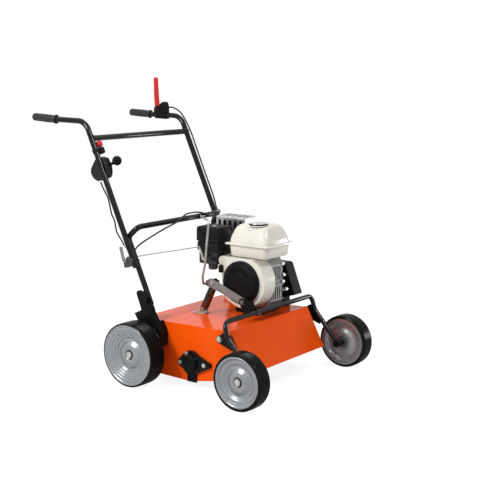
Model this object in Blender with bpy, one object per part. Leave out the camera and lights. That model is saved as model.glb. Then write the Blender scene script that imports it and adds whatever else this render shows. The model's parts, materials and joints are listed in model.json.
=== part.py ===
"""Petrol scarifier: deck, rotor, four wheels, depth linkage, folding handle, engine and controls.

Metres, +Z up. The machine drives towards -Y and the operator's right hand is at -X.
The origin is the middle of the bounding box, on the ground.
"""
import math

import bmesh
import bpy
from mathutils import Matrix, Vector

for old in list(bpy.data.objects):
    bpy.data.objects.remove(old, do_unlink=True)

# Driving dimensions
GAP = 0.0003
FRONT_Y, FRONT_Z, FRONT_R = -0.492, 0.105, 0.105
REAR_Y, REAR_Z, REAR_R = 0.011, 0.123, 0.123
FRONT_OUT, FRONT_IN = 0.3835, 0.3195
REAR_OUT, REAR_IN = 0.3965, 0.3185
WHEEL_SIDES = 20
AXLE_R = 0.008
DECK_HALF, SHEET = 0.253, 0.003
DECK_REAR, DECK_FRONT = 0.068, -0.3665
DECK_TOP_REAR, DECK_TOP_FRONT = 0.235, 0.2435
NOSE_Y, NOSE_Z = -0.4465, 0.0925
ROTOR_Y, ROTOR_Z, BLADE_R = -0.19, 0.10, 0.078
SHAFT_R, JOURNAL_R = 0.0175, 0.010
BLADES, BLADE_PITCH, BLADE_FIRST, BLADE_T = 12, 0.0360, -0.230, 0.003
BELT_X = 0.2195
CRANK_Y, CRANK_Z = -0.269, 0.380
FAN_NEAR, FAN_FAR, CASE_FAR = -0.047, 0.028, 0.123
CRANK_PULLEY_R, ROTOR_PULLEY_R = 0.028, 0.045
EAR_Y, EAR_Z = -0.336, 0.2155
BAR_R, ARM_X = 0.0095, 0.287
BAR_Y, BAR_Z = -0.363, 0.283
LINK_X, POST_X = -0.0805, -0.0635
POST_FOOT = (-0.0925, 0.2540)
POST_TOP = (-0.150, 0.368)
LUG_PIN = (-0.299, 0.3135)
ROD_EYE = (-0.1180, 0.3620)
HANDLE_R = 0.011
UPPER_X, LOWER_X = 0.2855, 0.262
ROD_X, ROD_Z = 0.11, 0.585
HANDLE_SLOPE = 0.459
FOLD_Y, FOLD_Z = 0.0735, 0.459
GRIP_Z, GRIP_IN, GRIP_OUT = 0.985, 0.468, 0.597


def deck_top(y):
    """Height of the deck's upper face at y."""
    k = (y - DECK_REAR) / (DECK_FRONT - DECK_REAR)
    return DECK_TOP_REAR + k * (DECK_TOP_FRONT - DECK_TOP_REAR)


def upper_y(z):
    """Y of the upper handle tube's axis at height z."""
    return 0.116 + HANDLE_SLOPE * (z - 0.562)


def lower_y(z):
    """Y of the lower handle leg's axis at height z."""
    return 0.126 + HANDLE_SLOPE * (z - 0.562)


def paint(name, colour, rough, metal=0.0):
    mat = bpy.data.materials.new(name)
    mat.use_nodes = True
    node = mat.node_tree.nodes["Principled BSDF"]
    node.inputs["Base Color"].default_value = (*colour, 1.0)
    node.inputs["Roughness"].default_value = rough
    node.inputs["Metallic"].default_value = metal
    mat.diffuse_color = (*colour, 1.0)
    return mat


ORANGE = paint("orange powder coat", (0.86, 0.13, 0.015), 0.25)
BLACK = paint("black powder coat", (0.012, 0.012, 0.013), 0.35)
PLASTIC = paint("black plastic", (0.02, 0.02, 0.021), 0.5)
RUBBER = paint("rubber", (0.015, 0.015, 0.016), 0.75)
RIM = paint("grey wheel paint", (0.42, 0.43, 0.45), 0.3, 0.3)
STEEL = paint("bare steel", (0.5, 0.5, 0.5), 0.3, 1.0)
ALLOY = paint("cast alloy", (0.45, 0.45, 0.44), 0.45, 0.8)
CREAM = paint("tank paint", (0.80, 0.79, 0.73), 0.3)
RED = paint("red plastic", (0.7, 0.02, 0.02), 0.35)
GREY = paint("grey plastic", (0.10, 0.10, 0.105), 0.5)
ZINC = paint("zinc plate", (0.6, 0.6, 0.58), 0.35, 0.9)


# Solids as bmesh
def prism(outline, axis, low, high):
    """Outline in the plane across the axis, extruded from low to high."""
    place = {"X": lambda u, v, w: (w, u, v),
             "Y": lambda u, v, w: (u, w, v),
             "Z": lambda u, v, w: (u, v, w)}[axis]
    bm = bmesh.new()
    face = bm.faces.new([bm.verts.new(place(u, v, low)) for u, v in outline])
    out = bmesh.ops.extrude_face_region(bm, geom=[face])
    moved = [g for g in out["geom"] if isinstance(g, bmesh.types.BMVert)]
    bmesh.ops.translate(bm, verts=moved, vec=place(0.0, 0.0, high - low))
    bmesh.ops.recalc_face_normals(bm, faces=bm.faces)
    return bm


def loft(rings):
    """Closed skin through rings of one count, each a list of points, capped at both ends."""
    bm = bmesh.new()
    loops = [[bm.verts.new(p) for p in ring] for ring in rings]
    for a, b in zip(loops, loops[1:]):
        for i in range(len(a)):
            j = (i + 1) % len(a)
            bm.faces.new((a[i], a[j], b[j], b[i]))
    bm.faces.new(loops[0])
    bm.faces.new(loops[-1])
    bmesh.ops.recalc_face_normals(bm, faces=bm.faces)
    return bm


def box(x0, x1, y0, y1, z0, z1):
    return prism([(x0, y0), (x1, y0), (x1, y1), (x0, y1)], "Z", z0, z1)


def turned(profile, sides, at=(0.0, 0.0, 0.0), along=(1.0, 0.0, 0.0), closed=False, flat=False):
    """Profile of (distance, radius) pairs spun about the axis through at."""
    bm = bmesh.new()
    verts = [bm.verts.new((t, 0.0, -r)) for t, r in profile]
    edges = [bm.edges.new(pair) for pair in zip(verts, verts[1:])]
    if closed:
        edges.append(bm.edges.new((verts[-1], verts[0])))
    bmesh.ops.spin(bm, geom=verts + edges, cent=(0, 0, 0), axis=(1, 0, 0), dvec=(0, 0, 0),
                   angle=2 * math.pi, steps=sides, use_merge=True)
    bmesh.ops.remove_doubles(bm, verts=bm.verts, dist=1e-6)
    if flat:
        bmesh.ops.rotate(bm, verts=bm.verts, cent=(0, 0, 0), matrix=Matrix.Rotation(math.pi / sides, 3, "X"))
    turn = Vector((1, 0, 0)).rotation_difference(Vector(along)).to_matrix()
    bmesh.ops.rotate(bm, verts=bm.verts, cent=(0, 0, 0), matrix=turn)
    bmesh.ops.translate(bm, verts=bm.verts, vec=at)
    bmesh.ops.recalc_face_normals(bm, faces=bm.faces)
    return bm


def rod(start, end, radius, sides=12):
    """Plain round bar between two points."""
    start, end = Vector(start), Vector(end)
    length = (end - start).length
    return turned([(0, 0), (0, radius), (length, radius), (length, 0)], sides, start, end - start)


def bend(corners, radius, steps=5):
    """Points along a line with rounded corners."""
    corners = [Vector(c) for c in corners]
    points = [corners[0]]
    for a, b, c in zip(corners, corners[1:], corners[2:]):
        u, v = (a - b).normalized(), (c - b).normalized()
        if u.dot(v) < -0.99999:
            points.append(b)
            continue
        half = u.angle(v) / 2
        cut = min(radius / math.tan(half), 0.49 * (a - b).length, 0.49 * (c - b).length)
        r = cut * math.tan(half)
        centre = b + (u + v).normalized() * (r / math.sin(half))
        p, q = b + u * cut - centre, b + v * cut - centre
        for i in range(steps + 1):
            points.append(centre + p.slerp(q, i / steps).normalized() * r)
    points.append(corners[-1])
    return points


def flow(route, step=0.012):
    """Smooth curve through the route's points, read at an even step."""
    route = [Vector(p) for p in route]
    route = [2 * route[0] - route[1]] + route + [2 * route[-1] - route[-2]]
    fine = []
    for a, b, c, d in zip(route, route[1:], route[2:], route[3:]):
        for i in range(24):
            t = i / 24
            fine.append(0.5 * (2 * b + (c - a) * t + (2 * a - 5 * b + 4 * c - d) * t * t
                               + (3 * b - a - 3 * c + d) * t ** 3))
    fine.append(route[-2])
    total = sum((q - p).length for p, q in zip(fine, fine[1:]))
    count = max(3, round(total / step))
    points, walked, goal = [fine[0]], 0.0, total / count
    for p, q in zip(fine, fine[1:]):
        gap = (q - p).length
        while walked + gap >= goal - 1e-9 and len(points) < count:
            points.append(p.lerp(q, (goal - walked) / gap))
            goal += total / count
        walked += gap
    points.append(fine[-1])
    return points


def tube(points, radius, sides=12):
    """Round tube swept along the points, with filled ends."""
    curve = bpy.data.curves.new("path", "CURVE")
    curve.dimensions = "3D"
    curve.bevel_depth = radius
    curve.bevel_resolution = sides // 2 - 2
    curve.use_fill_caps = True
    spline = curve.splines.new("POLY")
    spline.points.add(len(points) - 1)
    for point, place in zip(spline.points, points):
        point.co = (*place, 1.0)
    holder = bpy.data.objects.new("path", curve)
    bpy.context.scene.collection.objects.link(holder)
    mesh = bpy.data.meshes.new_from_object(holder.evaluated_get(bpy.context.evaluated_depsgraph_get()))
    bm = bmesh.new()
    bm.from_mesh(mesh)
    bmesh.ops.remove_doubles(bm, verts=bm.verts, dist=1e-6)
    bmesh.ops.recalc_face_normals(bm, faces=bm.faces)
    bpy.data.objects.remove(holder, do_unlink=True)
    bpy.data.meshes.remove(mesh)
    return bm


def soften(bm, width, segments=1, limit=40):
    """Round the edges whose faces meet at more than the limit, in degrees."""
    sharp = [e for e in bm.edges if e.is_manifold and e.calc_face_angle(0.0) > math.radians(limit)]
    bmesh.ops.bevel(bm, geom=sharp, offset=width, segments=segments, affect="EDGES", profile=0.5,
                    clamp_overlap=True)
    bmesh.ops.recalc_face_normals(bm, faces=bm.faces)
    return bm


def turn(bm, degrees, axis, at):
    bmesh.ops.rotate(bm, verts=bm.verts, cent=at, matrix=Matrix.Rotation(math.radians(degrees), 3, axis))
    return bm


def mirrored(bm, sign):
    """The solid itself for sign -1, its mirror image across X = 0 for sign +1."""
    if sign > 0:
        bmesh.ops.scale(bm, vec=(-1, 1, 1), verts=bm.verts)
        bmesh.ops.recalc_face_normals(bm, faces=bm.faces)
    return bm


def temporary(bm):
    mesh = bpy.data.meshes.new("temporary")
    bm.to_mesh(mesh)
    bm.free()
    ob = bpy.data.objects.new("temporary", mesh)
    bpy.context.scene.collection.objects.link(ob)
    return ob


def fuse(parts, cuts=()):
    """One body: the union of the parts, less the cuts."""
    objects = [temporary(bm) for bm in list(parts) + list(cuts)]
    base = objects[0]
    for i, other in enumerate(objects[1:], 1):
        mod = base.modifiers.new("step", "BOOLEAN")
        mod.operation = "UNION" if i < len(parts) else "DIFFERENCE"
        mod.solver = "EXACT"
        mod.object = other
    deps = bpy.context.evaluated_depsgraph_get()
    mesh = bpy.data.meshes.new_from_object(base.evaluated_get(deps))
    bm = bmesh.new()
    bm.from_mesh(mesh)
    bmesh.ops.remove_doubles(bm, verts=bm.verts, dist=2e-6)
    bmesh.ops.dissolve_degenerate(bm, edges=bm.edges, dist=2e-6)
    for ob in objects:
        data = ob.data
        bpy.data.objects.remove(ob, do_unlink=True)
        bpy.data.meshes.remove(data)
    bpy.data.meshes.remove(mesh)
    return bm


def make(name, bm, mat, pivot=(0.0, 0.0, 0.0), angle=35):
    """Named object with its origin at the pivot."""
    bmesh.ops.translate(bm, verts=bm.verts, vec=-Vector(pivot))
    mesh = bpy.data.meshes.new(name)
    bm.to_mesh(mesh)
    bm.free()
    mesh.materials.append(mat)
    mesh.shade_smooth()
    mesh.set_sharp_from_angle(angle=math.radians(angle))
    ob = bpy.data.objects.new(name, mesh)
    ob.location = pivot
    bpy.context.scene.collection.objects.link(ob)
    return ob


def arc(cy, cz, r, start, end, steps):
    """Points on a circle from start to end, in degrees."""
    return [(cy + r * math.cos(math.radians(start + (end - start) * i / steps)),
             cz + r * math.sin(math.radians(start + (end - start) * i / steps))) for i in range(steps + 1)]


def rounded(u0, u1, v0, v1, r, steps=3):
    """Rectangle with round corners."""
    points = []
    for cu, cv, a in ((u1 - r, v1 - r, 0), (u0 + r, v1 - r, 90), (u0 + r, v0 + r, 180),
                      (u1 - r, v0 + r, 270)):
        points += arc(cu, cv, r, a, a + 90, steps)
    return points


# Deck
def deck():
    side = [(DECK_REAR, DECK_TOP_REAR), (DECK_FRONT, DECK_TOP_FRONT), (NOSE_Y, NOSE_Z),
            (-0.30, 0.046), (-0.18, 0.024), (DECK_REAR, 0.030)]
    inner = [(0.10, deck_top(0.10) - SHEET), (-0.60, deck_top(-0.60) - SHEET), (-0.60, -0.10), (0.10, -0.10)]
    wall = [(-0.06, 0.034), (-0.34, 0.066), (-0.34, deck_top(-0.34) - 0.001),
            (-0.06, deck_top(-0.06) - 0.001)]
    slot = arc(ROTOR_Y, ROTOR_Z, 0.0195, 180, 0, 8) + [(ROTOR_Y + 0.0195, -0.02), (ROTOR_Y - 0.0195, -0.02)]
    hood = fuse([prism(side, "X", -DECK_HALF, DECK_HALF)],
                [prism(inner, "X", -DECK_HALF + SHEET, DECK_HALF - SHEET)])
    body = fuse([hood, prism(wall, "X", 0.188, 0.191)],
                [prism(slot, "X", -0.30, 0.30),
                 box(0.2040, 0.2350, -0.280, -0.165, 0.20, 0.28),
                 box(-0.225, 0.165, -0.0232, -0.0215, 0.2358, 0.25),
                 rod((-0.3, EAR_Y, EAR_Z), (0.3, EAR_Y, EAR_Z), 0.0055, 12)])
    reach = REAR_OUT - 0.0203
    axle = [rod((-reach, REAR_Y, REAR_Z), (reach, REAR_Y, REAR_Z), AXLE_R, 12)]
    for sign in (-1, 1):
        axle.append(rod((sign * (REAR_IN - 0.001), REAR_Y, REAR_Z), (sign * 0.250, REAR_Y, REAR_Z), 0.013,
                        12))
    make("deck_housing", fuse([body] + axle), ORANGE)

    run = Vector((NOSE_Y - DECK_FRONT, NOSE_Z - DECK_TOP_FRONT)).normalized()
    out = Vector((run.y, -run.x))
    top, low = Vector((DECK_FRONT, DECK_TOP_FRONT)), Vector((NOSE_Y, NOSE_Z))
    skin = [top + out * GAP, top + out * (GAP + SHEET), low + out * (GAP + SHEET), low + out * GAP]
    lip = [top + out * (GAP + SHEET), top + out * GAP, (DECK_FRONT + 0.012,
                                                        deck_top(DECK_FRONT + 0.012) + GAP),
           (DECK_FRONT + 0.012, deck_top(DECK_FRONT + 0.012) + GAP + 0.0018),
           (DECK_FRONT, deck_top(DECK_FRONT) + GAP + 0.002)]
    flange = [top + out * 0.001 + run * 0.006, top - out * 0.014 + run * 0.016,
              low - out * 0.014 - run * 0.010, low + out * 0.001 - run * 0.004]
    parts = [prism([tuple(p) for p in skin], "X", -DECK_HALF, DECK_HALF),
             prism([tuple(p) for p in lip], "X", -DECK_HALF, DECK_HALF)]
    for sign in (-1, 1):
        a, b = sorted((sign * (DECK_HALF - SHEET - GAP), sign * (DECK_HALF - 2 * SHEET - GAP)))
        parts.append(prism([tuple(p) for p in flange], "X", a, b))
    make("front_panel", fuse(parts), ORANGE)

    # the flap hangs on a rod under the rear edge of the hood and is ribbed for stiffness
    hy, hz = 0.058, 0.214
    flap = [(hy - 0.0015, hz), (hy + 0.0015, hz), (hy + 0.0015, 0.120), (hy + 0.0115, 0.104),
            (hy + 0.0015, 0.088), (hy + 0.0015, 0.052), (hy + 0.0095, 0.043), (hy + 0.0075, 0.041),
            (hy - 0.0015, 0.051), (hy - 0.0015, 0.089), (hy + 0.0080, 0.104), (hy - 0.0015, 0.119)]
    flap_body = fuse([prism(flap, "X", -0.240, 0.240), rod((-0.247, hy, hz), (0.247, hy, hz), 0.0045, 12)])
    make("rear_flap", flap_body, BLACK, (0, hy, hz))


# Rotor with its bearings
def bearing(sign):
    outline = arc(ROTOR_Y, ROTOR_Z - 0.002, 0.047, 35, 135, 6)
    outline += arc(-0.273, ROTOR_Z, 0.010, 110, 250, 4)
    outline += arc(ROTOR_Y, ROTOR_Z - 0.002, 0.047, 225, 325, 6)
    outline += arc(-0.138, ROTOR_Z - 0.005, 0.013, -60, 60, 4)
    inner = -DECK_HALF - GAP
    flange = soften(prism(outline, "X", inner - 0.012, inner), 0.0015, 1, 60)
    boss = turned([(0, 0), (0, 0.036), (-0.006, 0.034), (-0.0155, 0.031), (-0.018, 0.028), (-0.018, 0)], 18,
                  (inner - 0.011, ROTOR_Y, ROTOR_Z))
    strap = soften(prism([(-0.2125, 0.0240), (-0.1675, 0.0240), (-0.1675, 0.062), (-0.2125, 0.062)],
                         "X", inner - 0.005, inner), 0.001, 1, 60)
    parts = [flange, boss, strap]
    for by, bz in ((-0.138, 0.095), (-0.253, 0.0995), (-0.170, 0.132)):
        parts.append(rod((inner - 0.004, by, bz), (inner - 0.0160, by, bz), 0.0065, 6))
    bore = rod((inner + 0.002, ROTOR_Y, ROTOR_Z), (inner - 0.024, ROTOR_Y, ROTOR_Z), JOURNAL_R + 0.0004, 16)
    name = "bearing_housing_" + ("left" if sign > 0 else "right")
    make(name, mirrored(fuse(parts, [bore]), sign), BLACK)


def rotor():
    """Shaft and knives as one loft: rings of one count run from circle to knife outline and back."""
    count = 12
    half = [(0.046, -20), (0.074, -9), (BLADE_R, -2), (0.058, 9), (0.030, 32), (0.0235, 95)]
    knife = half + [(r, a + 180) for r, a in half]

    def ring(x, radius, phase):
        return [(x, radius, -20 + phase + 360 * i / count) for i in range(count)]

    rings = [ring(-0.272, JOURNAL_R, 0), ring(-0.2485, JOURNAL_R, 0), ring(-0.2485, SHAFT_R, 0)]
    for k in range(BLADES):
        x = BLADE_FIRST + k * BLADE_PITCH
        phase = 48 * k
        rings.append(ring(x, SHAFT_R, 0))
        rings.append(("knife", x, phase))
        rings.append(("knife", x + BLADE_T, phase))
        rings.append(ring(x + BLADE_T, SHAFT_R, 0))
    rings += [ring(0.204, SHAFT_R, 0), ring(0.204, JOURNAL_R, 0), ring(0.272, JOURNAL_R, 0)]

    loops = []
    for item in rings:
        if item[0] == "knife":
            _, x, phase = item
            shift = round((phase % 360) / 30)
            points = [None] * count
            for i, (r, a) in enumerate(knife):
                points[(i + shift) % count] = (x, r, a + phase)
        else:
            points = item
        loops.append([(x, ROTOR_Y + r * math.cos(math.radians(a)), ROTOR_Z + r * math.sin(math.radians(a)))
                      for x, r, a in points])
    pulley = turned(grooved(ROTOR_PULLEY_R, 0.006, 0.0095), 20, (BELT_X, ROTOR_Y, ROTOR_Z), closed=True)
    make("rotor", fuse([loft(loops), pulley]), STEEL, (0, ROTOR_Y, ROTOR_Z))


def grooved(radius, bore, half):
    """Pulley section: rims each side of a V groove."""
    return [(-half, bore), (-half, radius), (-half + 0.002, radius), (-0.0025, radius - 0.009),
            (0.0025, radius - 0.009), (half - 0.002, radius), (half, radius), (half, bore)]


def drive():
    crank = [(CASE_FAR + 0.0245 - BELT_X, 0), (CASE_FAR + 0.0245 - BELT_X, 0.011)]
    crank += [(-0.0095, 0.011)] + grooved(CRANK_PULLEY_R, 0.011, 0.0095)[1:-1] + [(0.0095, 0.011),
                                                                                  (0.014, 0.009)]
    crank += [(0.014, 0)]
    at = (BELT_X, CRANK_Y, CRANK_Z)
    make("crank_pulley", turned(crank, 16, at), ALLOY, at)

    # belt: two arcs round the pulleys and two straight runs, with a trapezoid section
    big, small = Vector((ROTOR_Y, ROTOR_Z)), Vector((CRANK_Y, CRANK_Z))
    line = small - big
    heading = math.degrees(math.atan2(line.y, line.x))
    r_big, r_small = ROTOR_PULLEY_R - 0.0012, CRANK_PULLEY_R - 0.0012
    tilt = math.degrees(math.acos((r_big - r_small) / line.length))
    path = []
    for i in range(11):
        a = math.radians(heading + tilt + (360 - 2 * tilt) * i / 10)
        path.append((big, r_big, Vector((math.cos(a), math.sin(a)))))
    for i in range(8):
        a = math.radians(heading - tilt + 2 * tilt * i / 7)
        path.append((small, r_small, Vector((math.cos(a), math.sin(a)))))
    bm = bmesh.new()
    loops = []
    for centre, r, way in path:
        loop = []
        for x, dr in ((-0.0058, 0.0012), (0.0058, 0.0012), (0.0034, -0.0052), (-0.0034, -0.0052)):
            p = centre + way * (r + dr + 0.0006)
            loop.append(bm.verts.new((BELT_X + x, p.x, p.y)))
        loops.append(loop)
    for a, b in zip(loops, loops[1:] + loops[:1]):
        for i in range(4):
            bm.faces.new((a[i], a[(i + 1) % 4], b[(i + 1) % 4], b[i]))
    bmesh.ops.recalc_face_normals(bm, faces=bm.faces)
    make("drive_belt", bm, RUBBER)

    # idler: arm on a pin in the inner wall, pulley beside the slack run
    py, pz, iy, iz = -0.1465, 0.2110, -0.1330, 0.1640
    arm = fuse([prism(arc(py, pz, 0.012, 15, 195, 6) + arc(iy, iz, 0.010, 195, 375, 6), "X", 0.1990, 0.2030),
                rod((0.1915, py, pz), (0.2060, py, pz), 0.008, 12),
                rod((0.2020, iy, iz), (0.2290, iy, iz), 0.004, 10)])
    make("idler_arm", arm, ZINC, (0.1990, py, pz))
    ring = [(-0.0085, 0.0044), (-0.0085, 0.0225), (-0.0070, 0.0225), (-0.0060, 0.0200), (0.0060, 0.0200),
            (0.0070, 0.0225), (0.0085, 0.0225), (0.0085, 0.0044)]
    make("idler_pulley", turned(ring, 14, (BELT_X, iy, iz), closed=True), PLASTIC, (BELT_X, iy, iz))


def belt_guard():
    outer = [(-0.150, deck_top(-0.150) + GAP), (-0.2900, deck_top(-0.2900) + GAP), (-0.2900, 0.2830),
             (-0.3460, 0.2980),
             (-0.3482, 0.3015), (-0.3035, 0.417), (-0.296, 0.423), (-0.246, 0.423), (-0.232, 0.412),
             (-0.150, 0.268)]
    body = soften(prism(outer, "X", 0.1920, 0.2475), 0.002, 1, 30)
    inner = [(-0.153, 0.20), (-0.2870, 0.20), (-0.2870, 0.2855), (-0.3440, 0.3007), (-0.3448, 0.3030),
             (-0.3010, 0.4155),
             (-0.2952, 0.420), (-0.2470, 0.420), (-0.2345, 0.4105), (-0.153, 0.2673)]
    cuts = [prism(inner, "X", 0.1945, 0.2450),
            rod((0.180, CRANK_Y, CRANK_Z), (0.200, CRANK_Y, CRANK_Z), 0.0135, 16)]
    make("belt_guard", fuse([body], cuts), PLASTIC)


# Wheels
def wheel(name, sign, y, z, radius, lip, out, inn, face, hub_depth):
    """face lists (depth behind the lip plane, radius) from the cap's middle out to the lip."""
    channel = lip - 0.009
    profile = [(out - d, r) for d, r in face]
    profile += [(out - 0.0022, lip), (out - 0.0024, channel), (inn + 0.0026, channel), (inn + 0.0024, lip),
                (inn + 0.0004, lip)]
    # the inner disc is pressed too and stands clear of the hub tube all round
    profile += [(inn + 0.0004, channel - 0.0040), (inn + 0.0090, channel - 0.0120), (inn + 0.0100, 0.0540),
                (inn + 0.0040, 0.0380), (inn + 0.0030, 0.0210), (inn + 0.0055, 0.0210),
                (inn + 0.0065, 0.0390), (inn + 0.0125, 0.0550), (inn + 0.0115, channel - 0.0100),
                (inn + 0.0060, channel - 0.0040)]
    deep = out - max(d for d, _ in face) - 0.003
    profile += [(deep, channel - 0.0040), (deep, 0.030), (deep - 0.002, 0.019), (inn, 0.016),
                (inn, 0.0087), (out - hub_depth, 0.0087), (out - hub_depth, 0.0)]
    rim = turned(profile, WHEEL_SIDES, (0, y, z), flat=True)
    make("rim_" + name, mirrored(rim, -sign), RIM, (0, y, z))
    grow = 1 / math.cos(math.pi / WHEEL_SIDES)
    mid = (out + inn) / 2
    tyre = [(inn + 0.003, channel + GAP), (inn + 0.003, lip + 0.0008), (inn + 0.0008, lip + 0.0020),
            (inn + 0.0016, lip + 0.45 * (radius - lip)), (inn + 0.008, radius * 0.9945),
            (mid, radius), (out - 0.008, radius * 0.9945), (out - 0.0016, lip + 0.45 * (radius - lip)),
            (out - 0.0008, lip + 0.0020), (out - 0.003, lip + 0.0008), (out - 0.003, channel + GAP)]
    tyre = [(t, r * grow) if r > lip + 0.003 else (t, r) for t, r in tyre]
    body = turned(tyre, WHEEL_SIDES, (0, y, z), closed=True, flat=True)
    make("tyre_" + name, mirrored(body, -sign), RUBBER, (0, y, z))


FRONT_FACE = [(0.0030, 0.0), (0.0045, 0.0135), (0.0100, 0.0165), (0.0077, 0.0250), (0.0098, 0.0365),
              (0.0178, 0.0490), (0.0190, 0.0545), (0.0098, 0.0715), (0.0088, 0.0765), (0.0010, 0.0832),
              (0.0, 0.0925)]
REAR_FACE = [(0.0090, 0.0), (0.0105, 0.0135), (0.0155, 0.0165), (0.0119, 0.0265), (0.0142, 0.0400),
             (0.0238, 0.0540), (0.0250, 0.0600), (0.0174, 0.0725), (0.0120, 0.0825), (0.0074, 0.0930),
             (0.0044, 0.1000), (0.0010, 0.1060), (0.0, 0.1150)]


def wheels():
    for sign, side in ((-1, "right"), (1, "left")):
        wheel("front_" + side, sign, FRONT_Y, FRONT_Z, FRONT_R, 0.093, FRONT_OUT, FRONT_IN, FRONT_FACE,
              0.0135)
        wheel("rear_" + side, sign, REAR_Y, REAR_Z, REAR_R, 0.1158, REAR_OUT, REAR_IN, REAR_FACE, 0.0195)


# Front axle and depth linkage
def front_axle():
    half = [(0, BAR_Y, BAR_Z), (ARM_X, BAR_Y - 0.003, BAR_Z + 0.001), (ARM_X, BAR_Y - 0.019, BAR_Z - 0.053),
            (ARM_X, FRONT_Y, FRONT_Z)]
    path = [(-x, y, z) for x, y, z in reversed(half)] + half[1:]
    parts = [tube(bend(path, 0.045, 5), BAR_R, 12)]
    for sign in (-1, 1):
        parts.append(rod((sign * 0.275, FRONT_Y, FRONT_Z), (sign * (FRONT_IN - 0.001), FRONT_Y, FRONT_Z),
                         0.0145, 12))
        parts.append(rod((sign * 0.280, FRONT_Y, FRONT_Z), (sign * (FRONT_OUT - 0.0145), FRONT_Y, FRONT_Z),
                         AXLE_R, 12))
        ear = arc(EAR_Y, EAR_Z, 0.0145, -70, 95, 7) + [(-0.3670, 0.2500), (-0.3790, 0.2430),
                                                       (-0.4220, 0.1860),
                                                       (-0.4150, 0.1750)]
        a, b = sorted((sign * 0.2735, sign * 0.2785))
        parts.append(prism(ear, "X", a, b))
    lug = arc(*LUG_PIN, 0.0155, -60, 80, 5) + [(-0.3480, 0.3225), (-0.3720, 0.2900), (-0.3720, 0.2760),
                                               (-0.3085, 0.2680), (-0.2960, 0.2850)]
    parts.append(prism(lug[::-1], "X", LINK_X - 0.0095, LINK_X - 0.0040))
    parts.append(rod((LINK_X - 0.0130, *LUG_PIN), (LINK_X + 0.0035, *LUG_PIN), 0.0042, 10))
    parts.append(rod((LINK_X - 0.0130, *LUG_PIN), (LINK_X - 0.0090, *LUG_PIN), 0.0075, 6))
    collar = [(-0.3750, 0.2715), (-0.3510, 0.2705), (-0.3490, 0.2950), (-0.3700, 0.2960)]
    parts.append(prism(collar, "X", LINK_X - 0.0095, LINK_X + 0.0120))
    for sign in (-1, 1):
        parts.append(turned([(0, 0), (0, 0.0048), (0.0052, 0.0048), (0.0052, 0.010), (0.0270, 0.010),
                             (0.0285, 0.0088),
                             (0.0345, 0.0085), (0.0360, 0.0070), (0.0360, 0)],
                            12, (sign * 0.2485, EAR_Y, EAR_Z), (sign, 0, 0)))
    make("front_axle", fuse(parts), BLACK, (0, EAR_Y, EAR_Z))


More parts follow.
